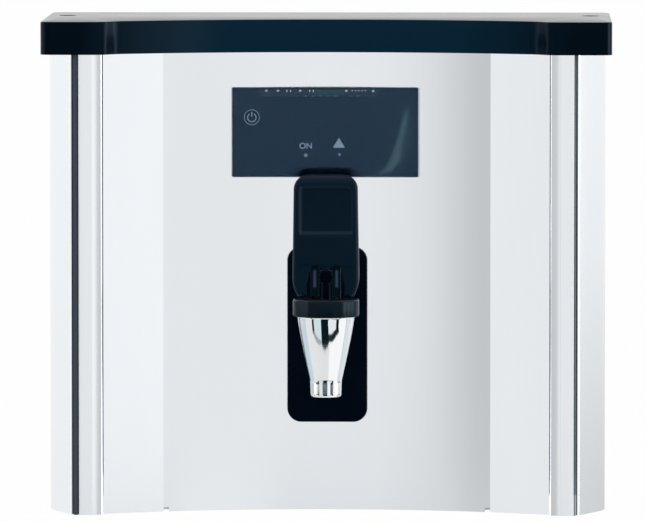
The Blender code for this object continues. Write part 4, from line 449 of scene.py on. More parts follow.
def turned(name, profile, centre=(0, 0, 0), steps=96, axis="Z", closed=False, sharp=30):
    """A profile of (radius, height) pairs spun round an axis through the centre."""
    shape = bmesh.new()
    spots = [shape.verts.new((radius, 0, height)) for radius, height in profile]
    lines = [shape.edges.new(pair) for pair in zip(spots, spots[1:])]
    if closed:
        lines.append(shape.edges.new((spots[-1], spots[0])))
    bmesh.ops.spin(shape, geom=spots + lines, cent=(0, 0, 0), axis=(0, 0, 1), angle=2 * math.pi,
                   steps=steps, use_duplicate=False)
    bmesh.ops.remove_doubles(shape, verts=shape.verts, dist=0.0000005)
    if axis != "Z":
        about = {"X": Matrix.Rotation(math.pi / 2, 4, "Y"), "Y": Matrix.Rotation(-math.pi / 2, 4, "X")}[axis]
        bmesh.ops.transform(shape, matrix=about, verts=shape.verts)
    bmesh.ops.translate(shape, verts=shape.verts, vec=centre)
    return object_from(shape, name, sharp)


def drill(name, radius, low, high, centre=(0, 0, 0), steps=32, axis="Z"):
    """A straight round rod or cutter between two heights along its axis."""
    return turned(name, [(0, low), (radius, low), (radius, high), (0, high)], centre, steps, axis)


def combine(target, operation, tools):
    for tool in tools:
        step = target.modifiers.new(operation.lower(), "BOOLEAN")
        step.operation = operation
        step.solver = "EXACT"
        step.object = tool
        settle(target)
        bpy.data.objects.remove(tool, do_unlink=True)
    return target


def settle(thing):
    """Turns the modifiers' result into the object's own mesh."""
    graph = bpy.context.evaluated_depsgraph_get()
    thing.data = bpy.data.meshes.new_from_object(thing.evaluated_get(graph), preserve_all_data_layers=True,
                                                 depsgraph=graph)
    thing.modifiers.clear()
    return thing


def cut(target, *tools):
    return combine(target, "DIFFERENCE", tools)


def join(target, *tools):
    return combine(target, "UNION", tools)


def crisp(thing, sharp=30):
    """Smooth shading again after cuts."""
    thing.data.shade_smooth()
    thing.data.set_sharp_from_angle(angle=math.radians(sharp))
    return thing


def soften(thing, width, segments=2, angle=40):
    """Rounds every edge sharper than the given angle, as a mould or a file would."""
    step = thing.modifiers.new("soften", "BEVEL")
    step.width = width
    step.segments = segments
    step.limit_method = "ANGLE"
    step.angle_limit = math.radians(angle)
    step.use_clamp_overlap = True
    step.harden_normals = False
    return crisp(settle(thing), 50)


def block(name, low, high, rounding=0.0):
    corners = [(low[0], low[1]), (high[0], low[1]), (high[0], high[1]), (low[0], high[1])]
    return prism(name, corners, low[2], high[2], rounding=rounding)


def finished(piece, body, slot, *nodes):
    """Gives a piece its finish and its body, and lets it stand for the nodes it replaces."""
    piece.data.materials.clear()
    piece.data.materials.append(finishes[slot])
    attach(piece, body)
    if nodes:
        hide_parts(*nodes)
    print(piece.name, len(piece.data.polygons), "faces")
    return piece


# %% [markdown]
# ## Outlines
# The front of the casing is one path seen from above: a dished centre, two flat wings, then the corner
# posts and the sides. Sheet metal has the same thickness everywhere, so a path is moved sideways by that
# thickness to give the inner face, with mitred corners.

# %% Outline tools
def arc(cx, cy, radius, start, end, steps):
    return [(cx + radius * math.cos(start + (end - start) * index / steps),
             cy + radius * math.sin(start + (end - start) * index / steps)) for index in range(steps + 1)]


def circle(cx, cy, radius, steps):
    return arc(cx, cy, radius, 0, 2 * math.pi, steps)[:-1]


def rounded(corners, radii, steps=8):
    """A closed outline whose corners are rounded, each by its own radius."""
    points = []
    for index, corner in enumerate(corners):
        here = Vector(corner)
        before = (Vector(corners[index - 1]) - here).normalized()
        after = (Vector(corners[(index + 1) % len(corners)]) - here).normalized()
        radius = radii[index]
        if not radius:
            points.append(tuple(here))
            continue
        half = before.angle(after) / 2
        centre = here + (before + after).normalized() * radius / math.sin(half)
        first = here + before * radius / math.tan(half) - centre
        last = here + after * radius / math.tan(half) - centre
        sweep = first.angle_signed(last)
        for share in range(steps + 1):
            spoke = first.copy()
            spoke.rotate(Matrix.Rotation(-sweep * share / steps, 2))
            points.append(tuple(centre + spoke))
    return points


def folded(path, radius, steps=4):
    """An open path whose inner corners are bent to a radius, as a brake press leaves them."""
    guide = rounded(path, [0] + [radius] * (len(path) - 2) + [0], steps)
    return guide


def shifted(points, distance, closed=False):
    """The path moved to its left by a distance, with mitred corners."""
    spots = [Vector(point) for point in points]
    moved = []
    for index, here in enumerate(spots):
        sides = []
        if closed or index > 0:
            sides.append((here - spots[index - 1]).normalized())
        if closed or index < len(spots) - 1:
            sides.append((spots[(index + 1) % len(spots)] - here).normalized())
        normals = [Vector((-side.y, side.x)) for side in sides]
        mitre = sum(normals, Vector((0, 0))).normalized()
        moved.append(tuple(here + mitre * distance / mitre.dot(normals[0])))
    return moved


def band(path, near, far):
    """The closed strip between two distances to the left of a path."""
    return shifted(path, near) + list(reversed(shifted(path, far)))


def stretched(path, extra):
    """The path with both ends run on in line."""
    first, second, before, last = (Vector(path[index]) for index in (0, 1, -2, -1))
    start = first + (first - second).normalized() * extra
    end = last + (last - before).normalized() * extra
    return [tuple(start)] + list(path[1:-1]) + [tuple(end)]


def mirrored(path):
    return [(-x, y) for x, y in reversed(path)]


def rectangle(x_range, y_range, radius=0.0, steps=8):
    corners = [(x_range[0], y_range[0]), (x_range[1], y_range[0]),
               (x_range[1], y_range[1]), (x_range[0], y_range[1])]
    return rounded(corners, [radius] * 4, steps)


print("outline tools ready")

# %% [markdown]
# ## The folded front cover
# One sheet makes the dished centre and the two wings. The solid model draws the dish with a few wide
# facets, which a shiny surface would show, so this copy has ninety-six. The sheet is a thin strip of the
# path pulled up to the casing's height, hollowed so that only its skin and the folded rims at top and
# bottom stay, then cut for the display, for the tap's neck and for the relief slots at the folds.

# %% Front cover
SHEET = 0.0012
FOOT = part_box("front_cover")[0].z
CASING_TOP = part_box("front_cover")[1].z
HALF_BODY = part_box("side_panel_right")[1].x
PANEL_HALF, PANEL_DEPTH, PANEL_DISH = 0.1150, 0.1210, 0.0190
PANEL_RADIUS = (PANEL_HALF ** 2 + PANEL_DISH ** 2) / (2 * PANEL_DISH)
WING_END, WING_DEPTH = 0.1565, 0.1575
RIM_DEPTH = 0.0140
TAP_Z, NECK_HOLE = FOOT + 0.1241, 0.0113
FAR = 0.05  # how far a cutter runs past what it cuts


def cover_path(steps=96):
    half_angle = math.asin(PANEL_HALF / PANEL_RADIUS)
    middle = arc(0, -PANEL_DEPTH - PANEL_RADIUS, PANEL_RADIUS, math.pi / 2 + half_angle,
                 math.pi / 2 - half_angle, steps)
    return [(-WING_END, -WING_DEPTH)] + middle + [(WING_END, -WING_DEPTH)]


def make_front_cover():
    path = cover_path()
    cover = prism("front_cover_sheet", band(path, 0, RIM_DEPTH), FOOT, CASING_TOP, sharp=2.5)
    hollow = prism("hollow", band(stretched(path, FAR), SHEET, RIM_DEPTH + FAR), FOOT + SHEET,
                   CASING_TOP - SHEET)
    window_low, window_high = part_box("display_window")
    wall = 0.0017
    opening = block("opening", (window_low.x + wall, -WING_DEPTH, window_low.z + wall),
                    (window_high.x - wall, -PANEL_DEPTH + RIM_DEPTH, window_high.z - wall))
    hole = drill("hole", NECK_HOLE, -FAR, FAR, (0, -PANEL_DEPTH, TAP_Z), 64, "Y")
    slots = []
    for side in (-1, 1):
        x = side * (PANEL_HALF - 0.00175)
        for low, high in ((FOOT - FAR, FOOT + 0.0030), (CASING_TOP - 0.0030, CASING_TOP + FAR)):
            slots.append(block("slot", (x - 0.00175, -WING_DEPTH, low), (x + 0.00175, -0.1070, high)))
        beyond = sorted((side * WING_END, side * 2 * WING_END))
        slots.append(block("end", (beyond[0], -0.2, FOOT - FAR), (beyond[1], 0, CASING_TOP + FAR)))
    cut(cover, hollow, opening, hole, *slots)
    return finished(crisp(cover, 2.5), "casing", "stainless", "front_cover")


make_front_cover()

# %% [markdown]
# ## Corner posts, seals and sides
# Each corner post is a folded strip with a narrow slanted face beside the wing and a flat face beside the
# seal. Folded sheet always has a small bend radius, and that radius is what draws the thin bright and
# dark lines down the real casing, so every fold here has one.

# %% Posts, seal strips and side panels
POST_INNER, POST_CREASE, POST_OUTER, POST_FRONT = 0.1570, 0.1642, 0.1737, 0.1670
SEAL_GAPS = {"left": 0.0039, "right": 0.0016}


def make_post_and_side(side):
    gap = SEAL_GAPS[side]
    shoulder = 0.0035 - POST_FRONT
    post = [(POST_INNER, shoulder + 0.0135), (POST_INNER, shoulder), (POST_CREASE, -POST_FRONT),
            (POST_OUTER, -POST_FRONT), (POST_OUTER, 0.0120 - POST_FRONT)]
    edge = POST_OUTER + gap
    angle = math.atan2(HALF_BODY - edge, 0.1650 - 0.1230)
    reach = 0.0500 * math.tan(angle / 2)
    bend = arc(HALF_BODY - 0.0500, reach - 0.1230, 0.0500, -angle, 0, 32)
    start = folded([(edge, 0.0110 - 0.1650), (edge, -0.1650), bend[0]], 0.0012)[:-1]
    flank = start + bend + [(HALF_BODY, 0)]
    front = 0.0015 - POST_FRONT
    strip = rectangle((POST_OUTER + 0.0003, edge - 0.0003), (front, front + 0.0090), 0.0004, 4)
    plans = {
        "corner_post_": (band(folded(post, 0.0014), 0, SHEET), "stainless", "fold_"),
        "side_panel_": (band(flank, 0, SHEET), "stainless", "flank_"),
        "seal_strip_": (strip, "seal_rubber", "gap_seal_"),
    }
    for node, (plan, slot, stem) in plans.items():
        drawn = mirrored(plan) if side == "left" else plan
        piece = prism(stem + side, drawn, FOOT, CASING_TOP, rounding=0.00025, segments=2, sharp=20)
        finished(piece, "casing", slot, node + side)
        # The right seal strip takes a lighter copy of the seal rubber: painted light.
        if slot == "seal_rubber" and side == "right":
            piece.data.materials[0] = soft_rubber("seal_rubber_painted_light", (0.125, 0.175, 0.205), 0.60)


for side in ("left", "right"):
    make_post_and_side(side)

# %% [markdown]
# ## The moulded lid
# The lid follows the casing in plan, with softer steps where it passes the posts. It is a gloss black
# moulding with a one millimetre edge radius, an open back and two deep round recesses for its screws.
# The edge radius matters more than anything else here: seen nearly edge on, it draws the thin light line
# round the top.

# %% Lid
LID_LOW, LID_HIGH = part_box("lid")[0].z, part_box("lid")[1].z
HALF_LID, LID_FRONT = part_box("lid")[1].x, 0.1700
LID_OVERHANG, LID_WALL, LID_EDGE = 0.0030, 0.0025, 0.0010
SCREW_INSET, SCREW_OUT, RECESS_DEPTH, BOSS_RADIUS = 0.0140, 0.0600, 0.0090, 0.0082


def lid_plan():
    path = shifted(cover_path(), -LID_OVERHANG)
    wing_start = Vector(path[-2])
    wing = (Vector(path[-1]) - wing_start).normalized()
    inner_x = WING_END - 0.0100
    inner = wing_start + wing * (inner_x - wing_start.x) / wing.x
    guide = [tuple(wing_start), tuple(inner), (inner_x + 0.0105, -LID_FRONT), (HALF_LID, -LID_FRONT),
             (HALF_LID, 0), (0, 0)]
    right = rounded(guide, [0, 0.0200, 0.0140, 0.0080, 0.0090, 0], 12)[1:-1]
    return path[1:-1] + right + mirrored(right)


def make_lid():
    plan = lid_plan()
    skin = CASING_TOP + 0.0003
    lid = prism("gloss_lid", plan, LID_LOW, LID_HIGH, rounding=LID_EDGE, segments=4, rims="high", sharp=20)
    cut(lid, prism("hollow", shifted(plan, LID_WALL, closed=True), LID_LOW - FAR, skin),
        block("open_back", (-HALF_BODY - 0.0003, -0.0090, LID_LOW - FAR), (HALF_BODY + 0.0003, FAR, skin)))
    floor = LID_HIGH - RECESS_DEPTH
    for sign in (-1, 1):
        spot = (sign * (HALF_LID - SCREW_INSET), -SCREW_OUT, 0)
        boss = drill("boss", BOSS_RADIUS, floor - LID_WALL, LID_HIGH - LID_EDGE, spot, 64)
        bore = turned("bore", [(0, floor), (0.0057, floor), (0.0060, floor + 0.0003),
                               (0.0060, LID_HIGH - 0.0004), (0.0064, LID_HIGH), (0.0064, LID_HIGH + FAR),
                               (0, LID_HIGH + FAR)], spot, 64)
        through = drill("through", 0.0024, LID_LOW, LID_HIGH, spot)
        join(lid, boss)
        cut(lid, bore, through)
    return finished(crisp(lid, 20), "casing", "lid_black", "lid")


def make_lid_screw(side):
    low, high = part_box("lid_screw_" + side)
    middle = ((low.x + high.x) / 2, (low.y + high.y) / 2, 0)
    seat = high.z - 0.0024
    head = [(0, low.z), (0.0012, low.z), (0.0020, low.z + 0.0010), (0.0020, seat), (0.0038, seat),
            (0.0040, seat + 0.0003), (0.0040, seat + 0.0010), (0.0036, seat + 0.0017),
            (0.0026, seat + 0.0022), (0.0012, high.z), (0, high.z)]
    screw = turned("lid_screw_head_" + side, head, middle, 48, sharp=40)
    for across, along in ((0.0022, 0.0005), (0.0005, 0.0022)):
        cut(screw, block("cross", (middle[0] - across, middle[1] - along, high.z - 0.0013),
                         (middle[0] + across, middle[1] + along, high.z + 0.01)))
    finished(crisp(screw, 40), "casing", "steel", "lid_screw_" + side)


make_lid()
for side in ("left", "right"):
    make_lid_screw(side)

# %% [markdown]
# ## The display
# Behind the window lies an almost black printed film. What one sees there is mostly the glass itself, which
# mirrors the pale room with a blue cast. A slot near the top edge shows a strip of the green circuit board
# with its small parts, and a black border hides the sheet's cut edge. The icons are printed on the film: a
# power symbol in a ring, the word ON over a small lamp, and a plain triangle over another. Prints are thin
# flat pieces laid on the film, because they stay sharp at any size.

# %% Window and film
WINDOW_LOW, WINDOW_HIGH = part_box("display_window")
FILM_LOW, FILM_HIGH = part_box("display_overlay")
PRINT_FRONT = FILM_LOW.y - 0.00012


def make_window():
    face = rectangle((WINDOW_LOW.x, WINDOW_HIGH.x), (WINDOW_LOW.z, WINDOW_HIGH.z), 0.0010, 6)
    pane = prism("smoked_pane", face, WINDOW_LOW.y, WINDOW_HIGH.y, "Y", 0.0003, 2, "low", sharp=10)
    finished(pane, "casing", "window_glass", "display_window")
    ring = prism("pane_border", shifted(face, 0.0003, closed=True), WINDOW_HIGH.y + 0.00005,
                 WINDOW_HIGH.y + 0.00020, "Y")
    margin = 0.0006
    opening = rectangle((FILM_LOW.x + margin, FILM_HIGH.x - margin), (FILM_LOW.z + margin, FILM_HIGH.z - margin))
    cut(ring, prism("hole", opening, WINDOW_LOW.y, FILM_HIGH.y + 0.001, "Y"))
    finished(ring, "casing", "overlay_film")


make_window()

# %% Prints on the film
print_ink = Finish("print_ink", (0.40, 0.53, 0.68), 0.5, Specular_IOR_Level=0.2)
dots = noise(print_ink.spot, 3000, 3000, 3000, 1.0)
print_ink.feed("Base Color", mixed(dots, (0.44, 0.57, 0.72), (0.36, 0.49, 0.64)))
lamp_lens = Finish("lamp_lens", (0.17, 0.22, 0.24), 0.35, Specular_IOR_Level=0.4)
cloud = noise(lamp_lens.spot, 900, 900, 900, 1.0)
lamp_lens.feed("Base Color", mixed(cloud, (0.30, 0.37, 0.40), (0.20, 0.26, 0.29)))
board_pale = Finish("board_pale", (0.52, 0.74, 0.80), 0.5, Specular_IOR_Level=0.2)
cloud = noise(board_pale.spot, 900, 900, 900, 1.0)
board_pale.feed("Base Color", mixed(cloud, (0.46, 0.68, 0.74), (0.58, 0.80, 0.88)))
strip_green = Finish("strip_green", (0.001, 0.036, 0.018), 0.4, Specular_IOR_Level=0.2)
cloud = noise(strip_green.spot, 500, 500, 500, 1.0)
strip_green.feed("Base Color", mixed(cloud, (0.0004, 0.030, 0.018), (0.001, 0.048, 0.028)))


def printed(name, outline, ink=print_ink, holes=()):
    """A flat print on the film, with any holes cut out of it."""
    mark = prism(name, outline, PRINT_FRONT, FILM_LOW.y - 0.00002, "Y")
    cut(mark, *[prism("hole", hole, PRINT_FRONT - 0.001, FILM_LOW.y + 0.001, "Y") for hole in holes])
    finished(mark, "casing", "overlay_film")
    mark.data.materials[0] = ink.material
    return mark


def ring_print(name, x, z, outer, inner):
    return printed(name, circle(x, z, outer, 64), holes=[circle(x, z, inner, 64)])


def power_symbol(x, z):
    ring_print("power_ring", x, z, 0.00545, 0.00510)
    gap = math.radians(32)
    sweep = (math.pi / 2 + gap, math.pi * 5 / 2 - gap)
    outer = arc(x, z - 0.0002, 0.00325, sweep[0], sweep[1], 40)
    inner = arc(x, z - 0.0002, 0.00265, sweep[1], sweep[0], 40)
    printed("power_arc", outer + inner)
    printed("power_stroke", rectangle((x - 0.00032, x + 0.00032), (z + 0.0003, z + 0.0037)))


def word(name, letters, x, z, height):
    """Generic lettering from the built-in typeface, scaled to a cap height."""
    text = bpy.data.curves.new(name, "FONT")
    text.body = letters
    text.align_x = "CENTER"
    text.offset = 0.012
    holder = bpy.data.objects.new(name, text)
    bpy.context.scene.collection.objects.link(holder)
    graph = bpy.context.evaluated_depsgraph_get()
    shape = bmesh.new()
    shape.from_mesh(bpy.data.meshes.new_from_object(holder.evaluated_get(graph)))
    bpy.data.objects.remove(holder, do_unlink=True)
    heights = [corner.co.y for corner in shape.verts]
    scale = height / (max(heights) - min(heights))
    bmesh.ops.scale(shape, verts=shape.verts, vec=(scale, scale, scale))
    bmesh.ops.rotate(shape, verts=shape.verts, matrix=Matrix.Rotation(math.pi / 2, 3, "X"))
    bmesh.ops.translate(shape, verts=shape.verts, vec=(x, PRINT_FRONT, z - height / 2))
    made = object_from(shape, name)
    finished(made, "casing", "overlay_film")
    made.data.materials[0] = print_ink.material


POWER_X, WORD_X, TRIANGLE_X, RIGHT_LAMP_X = -0.0530, -0.0150, 0.0083, 0.0087
POWER_Z, WORD_Z, LEFT_LAMP_Z, RIGHT_LAMP_Z = (FOOT + rise for rise in (0.2777, 0.2578, 0.2510, 0.2515))
TRIANGLE_HALF, TRIANGLE_LOW, TRIANGLE_HIGH = 0.00425, FOOT + 0.2563, FOOT + 0.2633
WORD_HEIGHT = 0.0042

power_symbol(POWER_X, POWER_Z)
word("word_on", "ON", WORD_X, WORD_Z, WORD_HEIGHT)
printed("lamp_left", circle(WORD_X, LEFT_LAMP_Z, 0.0013, 24), lamp_lens)
printed("lamp_right", circle(RIGHT_LAMP_X, RIGHT_LAMP_Z, 0.0009, 24), lamp_lens)
printed("triangle", rounded([(TRIANGLE_X - TRIANGLE_HALF, TRIANGLE_LOW), (TRIANGLE_X + TRIANGLE_HALF, TRIANGLE_LOW),
                             (TRIANGLE_X, TRIANGLE_HIGH)], [0.0003] * 3, 4))

# %% Parts on the circuit board
STRIP_LOW, STRIP_HIGH = FOOT + 0.2928, FOOT + 0.2976
STRIP_HEIGHT, STRIP_CENTRE = STRIP_HIGH - STRIP_LOW, (STRIP_LOW + STRIP_HIGH) / 2
LAMP_ROW = FOOT + 0.2966


def board_part(name, x, z, width, height, slot, ink=board_pale, depth=0.00008):
    """A small part standing in the slot, just proud of the film."""
    part = prism(name, rectangle((x - width / 2, x + width / 2), (z - height / 2, z + height / 2), 0.0002, 3),
                 FILM_LOW.y - depth, FILM_LOW.y - 0.00001, "Y")
    finished(part, "casing", slot)
    if ink:
        part.data.materials[0] = ink.material


board_part("board_strip", -0.0060, STRIP_CENTRE, 0.0850, STRIP_HEIGHT, "coil_black", None, 0.00004)
board_part("board_bare", 0.0016, STRIP_CENTRE, 0.0210, STRIP_HEIGHT, "circuit_board", strip_green)
for number, x in enumerate((-0.0428, -0.0346, -0.0190, 0.0135)):
    board_part("board_lamp_" + str(number), x, LAMP_ROW, 0.0016, 0.0016, "white_nylon")
for number, x in enumerate((-0.0270, -0.0110)):
    arch_out = arc(x, LAMP_ROW - 0.0003, 0.0017, -0.6, math.pi + 0.6, 20)
    arch_in = arc(x, LAMP_ROW - 0.0003, 0.0010, math.pi + 0.6, -0.6, 20)
    hook = prism("board_hook_" + str(number), arch_out + arch_in, FILM_LOW.y - 0.00008,
                 FILM_LOW.y - 0.00001, "Y")
    finished(hook, "casing", "white_nylon").data.materials[0] = board_pale.material
for number in range(5):
    board_part("board_resistor_" + str(number), 0.0177 + number * 0.0023, LAMP_ROW, 0.0009, 0.0007,
               "white_nylon")
board_part("board_clip", 0.0324, LAMP_ROW, 0.0016, 0.0020, "white_nylon")

# %% [markdown]
# ## The tap's body
# The chrome body is a turned cone with a short barrel above and a straight nozzle below. A square neck
# would show as a seam, so the neck is a second turned piece, joined to the first. The profile carries
# small radii at every change of direction, since sharp corners never catch the light on plated brass.

# %% Chrome tap body
TAP_Y = -0.1660
SPOUT_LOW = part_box("tap_body")[0].z
SEAT_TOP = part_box("tap_body")[1].z
CONE_RADIUS, BARREL_RADIUS, SPOUT_BORE = 0.0200, 0.0170, 0.0070
CHAMBER_RADIUS, NECK_BORE = 0.0140, 0.0055


def cone_profile():
    """Outside of the body from its seat down to the nozzle's lip, its lean growing on the way down."""
    leans = [(0.0561, 6.8), (0.0515, 8.2), (0.0470, 9.8), (0.0375, 11.4), (0.0124, 12.9), (0.0099, 1.9),
             (0.0012, 1.9)]
    radius = CONE_RADIUS
    cone = [(radius, SPOUT_LOW + leans[0][0])]
    for (high, lean), (low, next_lean) in zip(leans, leans[1:]):
        for step in range(8):
            radius -= (high - low) / 8 * math.tan(math.radians(lean + (next_lean - lean) * (step + 0.5) / 8))
            cone.append((radius, SPOUT_LOW + high - (high - low) * (step + 1) / 8))
    top = cone[0][1]
    shoulder = [(BARREL_RADIUS, SEAT_TOP), (BARREL_RADIUS, top), (CONE_RADIUS - 0.0004, top),
                (CONE_RADIUS, top - 0.0004)]
    lip = [(radius - 0.00025, SPOUT_LOW + 0.0004), (radius - 0.00070, SPOUT_LOW), (SPOUT_BORE, SPOUT_LOW)]
    return shoulder + cone[2:] + lip


def make_tap_body():
    seat = FOOT + 0.1180
    outside = cone_profile()
    inside = [(SPOUT_BORE, seat), (CHAMBER_RADIUS, seat), (CHAMBER_RADIUS, SEAT_TOP)]
    body = turned("chrome_body", outside + inside, (0, TAP_Y, 0), 128, closed=True, sharp=25)
    low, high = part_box("tap_body")
    end = high.y - TAP_Y
    neck = [(0, 0.0125), (0.0110, 0.0125), (0.0110, 0.0388), (0.0136, 0.0388), (0.0140, 0.0392),
            (0.0140, 0.0413), (0.0110, 0.0413), (0.0110, end - 0.0200), (0.0080, end - 0.0200),
            (0.0080, end), (0, end)]
    join(body, turned("neck", neck, (0, TAP_Y, TAP_Z), 64, "Y"))
    chamber = drill("chamber", CHAMBER_RADIUS - 0.0001, seat, SEAT_TOP + FAR, (0, TAP_Y, 0), 64)
    cut(body, chamber, drill("bore", NECK_BORE, 0, 4 * FAR, (0, TAP_Y, TAP_Z), 48, "Y"))
    finished(crisp(body, 25), "casing", "chrome", "tap_body")


make_tap_body()

# %% [markdown]
# ## Backplate, collar, stem and pin
# The backplate is a plain moulding with large corners. The collar screws down over the body and has
# shallow scallops for a grip. The stem runs up through it to the lever's pin.

# %% Backplate, collar, stem and pin
PLATE_LOW, PLATE_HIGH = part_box("tap_backplate")
COLLAR_LOW, COLLAR_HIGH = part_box("tap_bonnet")
PIN_Z, PIN_BORE = -0.13195, 0.0018


# A darker copy of the black plastic with a low specular level, its darker colour painted shade: it dresses the
# backplate behind the tap and the stem and pin inside the lever.
shaded_black = moulded("shaded_black", (0.0001, 0.0016, 0.0050), 0.34, 0.04, BLUE_TINT, 0.000006)
# A darker copy of the black plastic for the collar, its darker colour painted shade.
shaded_collar_black = moulded("shaded_collar_black", (0.0002, 0.0022, 0.0042), 0.28, 0.20, (0.36, 0.70, 0.95), 0.000006)


def make_backplate():
    face = rectangle((PLATE_LOW.x, PLATE_HIGH.x), (PLATE_LOW.z, PLATE_HIGH.z), 0.0095, 16)
    plate = prism("tap_plate", face, PLATE_LOW.y, PLATE_HIGH.y, "Y", 0.0014, 5, "low")
    hole = drill("hole", NECK_HOLE, -FAR, FAR, (0, PLATE_LOW.y, TAP_Z), 64, "Y")
    finished(crisp(cut(plate, hole)), "casing", "black_plastic", "tap_backplate")
    plate.data.materials[0] = shaded_black


COLLAR_RADIUS, SCALLOP_DEPTH, SCALLOPS = 0.0238, 0.0009, 8


def make_collar():
    points = []
    steps = 24 * SCALLOPS
    for index in range(steps):
        angle = 2 * math.pi * index / steps
        wave = math.cos(SCALLOPS * angle) / 2 + 1 / 2
        radius = COLLAR_RADIUS - SCALLOP_DEPTH * wave ** 2
        points.append((radius * math.cos(angle), TAP_Y + radius * math.sin(angle)))
    collar = prism("grip_collar", points, COLLAR_LOW.z + 0.0016, COLLAR_HIGH.z, rounding=0.0014, segments=4,
                   sharp=40)
    spot = (0, TAP_Y, 0)
    roof = COLLAR_HIGH.z - 0.0051
    cut(collar, drill("socket", 0.0173, roof - 2 * FAR, roof, spot, 96),
        drill("bore", 0.0034, -8 * FAR, 0, spot, 48))
    finished(crisp(collar, 40), "casing", "black_plastic", "tap_bonnet")
    collar.data.materials[0] = shaded_collar_black


def make_stem():
    low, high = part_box("tap_stem")
    profile = [(0, PIN_Z), (0.0030, PIN_Z), (0.0030, low.z + 0.0020), (0.0077, low.z + 0.0020),
               (0.0080, low.z + 0.0017), (0.0080, low.z + 0.0003), (0.0077, low.z), (0, low.z)]
    stem = turned("valve_stem", profile, (0, TAP_Y, 0), 64, sharp=35)
    eye = [(0, -0.0040), (0.0043, -0.0040), (0.0046, -0.0037), (0.0046, 0.0037), (0.0043, 0.0040),
           (0, 0.0040)]
    join(stem, turned("eye", eye, (0, TAP_Y, PIN_Z), 64, "X"))
    cut(stem, drill("hole", PIN_BORE, -2 * FAR, 2 * FAR, (0, TAP_Y, PIN_Z), axis="X"))
    # The stem and pin take the darker copy of the black plastic: painted shade inside the lever.
    finished(crisp(stem, 35), "stem", "coil_black", "tap_stem").data.materials[0] = shaded_black
    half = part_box("lever_pin")[1].x
    pin = [(0, -half), (0.0012, -half), (0.0015, 0.0003 - half), (0.0015, half - 0.0003), (0.0012, half),
           (0, half)]
    finished(turned("hinge_pin", pin, (0, TAP_Y, PIN_Z), 32, "X", sharp=35), "stem", "coil_black",
             "lever_pin").data.materials[0] = shaded_black


make_backplate()
make_collar()
make_stem()

# %% [markdown]
# ## The lever
# The lever is one deep black moulding. Its front wall runs straight up and rolls back at the crown, its
# sides sweep forward from a deep foot, and it is open behind so that two fingers can pull it. At the foot
# the front wall is cut away in a double arch, and two cams show behind the arch. They roll on the collar
# and lift the stem. A loft gives the outside, a smaller loft hollows it, and the cams are pieces of their
# own inside the same moulding.

# %% Lever
CAM_RADIUS, LEVER_TOP, LEVER_CORNER, LEVER_CROWN = 0.0145, 0.0719, 0.0100, 0.0065
LEVER_FRONT, LEVER_WALL, LEVER_EDGE = 0.0135, 0.0028, 0.0034
ARCH_HEIGHT = 0.0090
PAD_HALF, PAD_LOW, PAD_HIGH, PAD_CORNER = 0.0185, 0.0306, 0.0638, 0.0040
CAM_MIDDLE, CAM_HALF, CAM_ARM_TOP = 0.0075, 0.0029, 0.0280
STEM_LIFT, FULL_PULL = 0.0030, math.radians(35)
CAM_START, CAM_END = math.radians(-32), math.radians(46)
FOOT_WIDTH, TOP_WIDTH, FOOT_TUCK = 0.0464, 0.0446, 0.0042
FOOT_BACK, SLIM_DEPTH = 0.0115, 0.0075


def lever_finish():
    """The lever's black, with painted highlights on the thumb recess's left and lower rims and on the crown."""
    made = Finish("lever_black", (0.0006, 0.0034, 0.0080), 0.36, Specular_IOR_Level=0.20,
                  Specular_Tint=(*BLUE_TINT, 1))
    x, y, z = split(made.spot)
    height = z - PIN_Z
    spill, rim = 0.0002, 0.0022
    edge, low, high = PAD_HALF + spill, PAD_LOW - spill, PAD_HIGH + spill
    inside = (abs(x) < edge) * (height > low) * (height < high)
    # Painted highlights: the left and lower rims of the thumb recess and the crown are painted lighter.
    left = ((x * -1 - (PAD_HALF - rim)) * 1500).clamped() * ((edge + x) * 2500).clamped()
    foot = ((PAD_LOW + 0.0023 - height) * 1500).clamped() * ((height - low) * 2500).clamped() * 0.8
    crown_highlight = ((height - 0.0665) * 250).clamped() * 0.5
    painted_highlight = ((left + foot).clamped() * inside + crown_highlight).clamped()
    wear = noise(made.spot, 38, 38, 38, 4.0, 0.6)
    plain = mixed((wear * 1.6 - 0.45).clamped(), (0.0006, 0.0034, 0.0080), (0.0018, 0.0052, 0.0108))
    made.feed("Base Color", mixed(painted_highlight, plain, (0.0095, 0.0180, 0.0265)))
    made.feed("Roughness", 0.32 + wear * 0.08)
    made.relief(noise(made.spot, 1500, 1500, 1500, 2.0), 0.000006)
    return made.material


def cam_finish():
    """The cams' black, with a painted highlight: a bright line down the middle of each."""
    made = Finish("cam_black", (0.0002, 0.0020, 0.0040), 0.34, Specular_IOR_Level=0.10,
                  Specular_Tint=(*BLUE_TINT, 1))
    x, y, z = split(made.spot)
    # Painted highlight: a bright vertical line down each cam, in place of the glint on its rounded front.
    painted_highlight_line = (1 - abs(abs(x) - 0.0077) * 650).clamped()
    ends = ((z + 0.1395) * 600).clamped() * ((-0.1258 - z) * 600).clamped()
    grain = noise(made.spot, 300, 300, 60)
    made.feed("Base Color", mixed(painted_highlight_line * ends, (0.0002, 0.0016, 0.0032), (0.0340, 0.0600, 0.0980)))
    made.feed("Roughness", 0.30 + grain * 0.08)
    return made.material


def lever_half(height):
    share = min(max(height / LEVER_TOP, 0), 1)
    half = (FOOT_WIDTH + (TOP_WIDTH - FOOT_WIDTH) * share) / 2
    if height < 0:
        half -= FOOT_TUCK * (height / CAM_RADIUS) ** 2
    bend = height - (LEVER_TOP - LEVER_CORNER)
    if bend > 0:
        half -= LEVER_CORNER - math.sqrt(max(LEVER_CORNER ** 2 - bend ** 2, 0))
    return half


def lever_front(height):
    roll = height - (LEVER_TOP - LEVER_CROWN)
    if roll <= 0:
        return -LEVER_FRONT
    return -LEVER_FRONT + LEVER_CROWN - math.sqrt(max(LEVER_CROWN ** 2 - roll ** 2, 0))


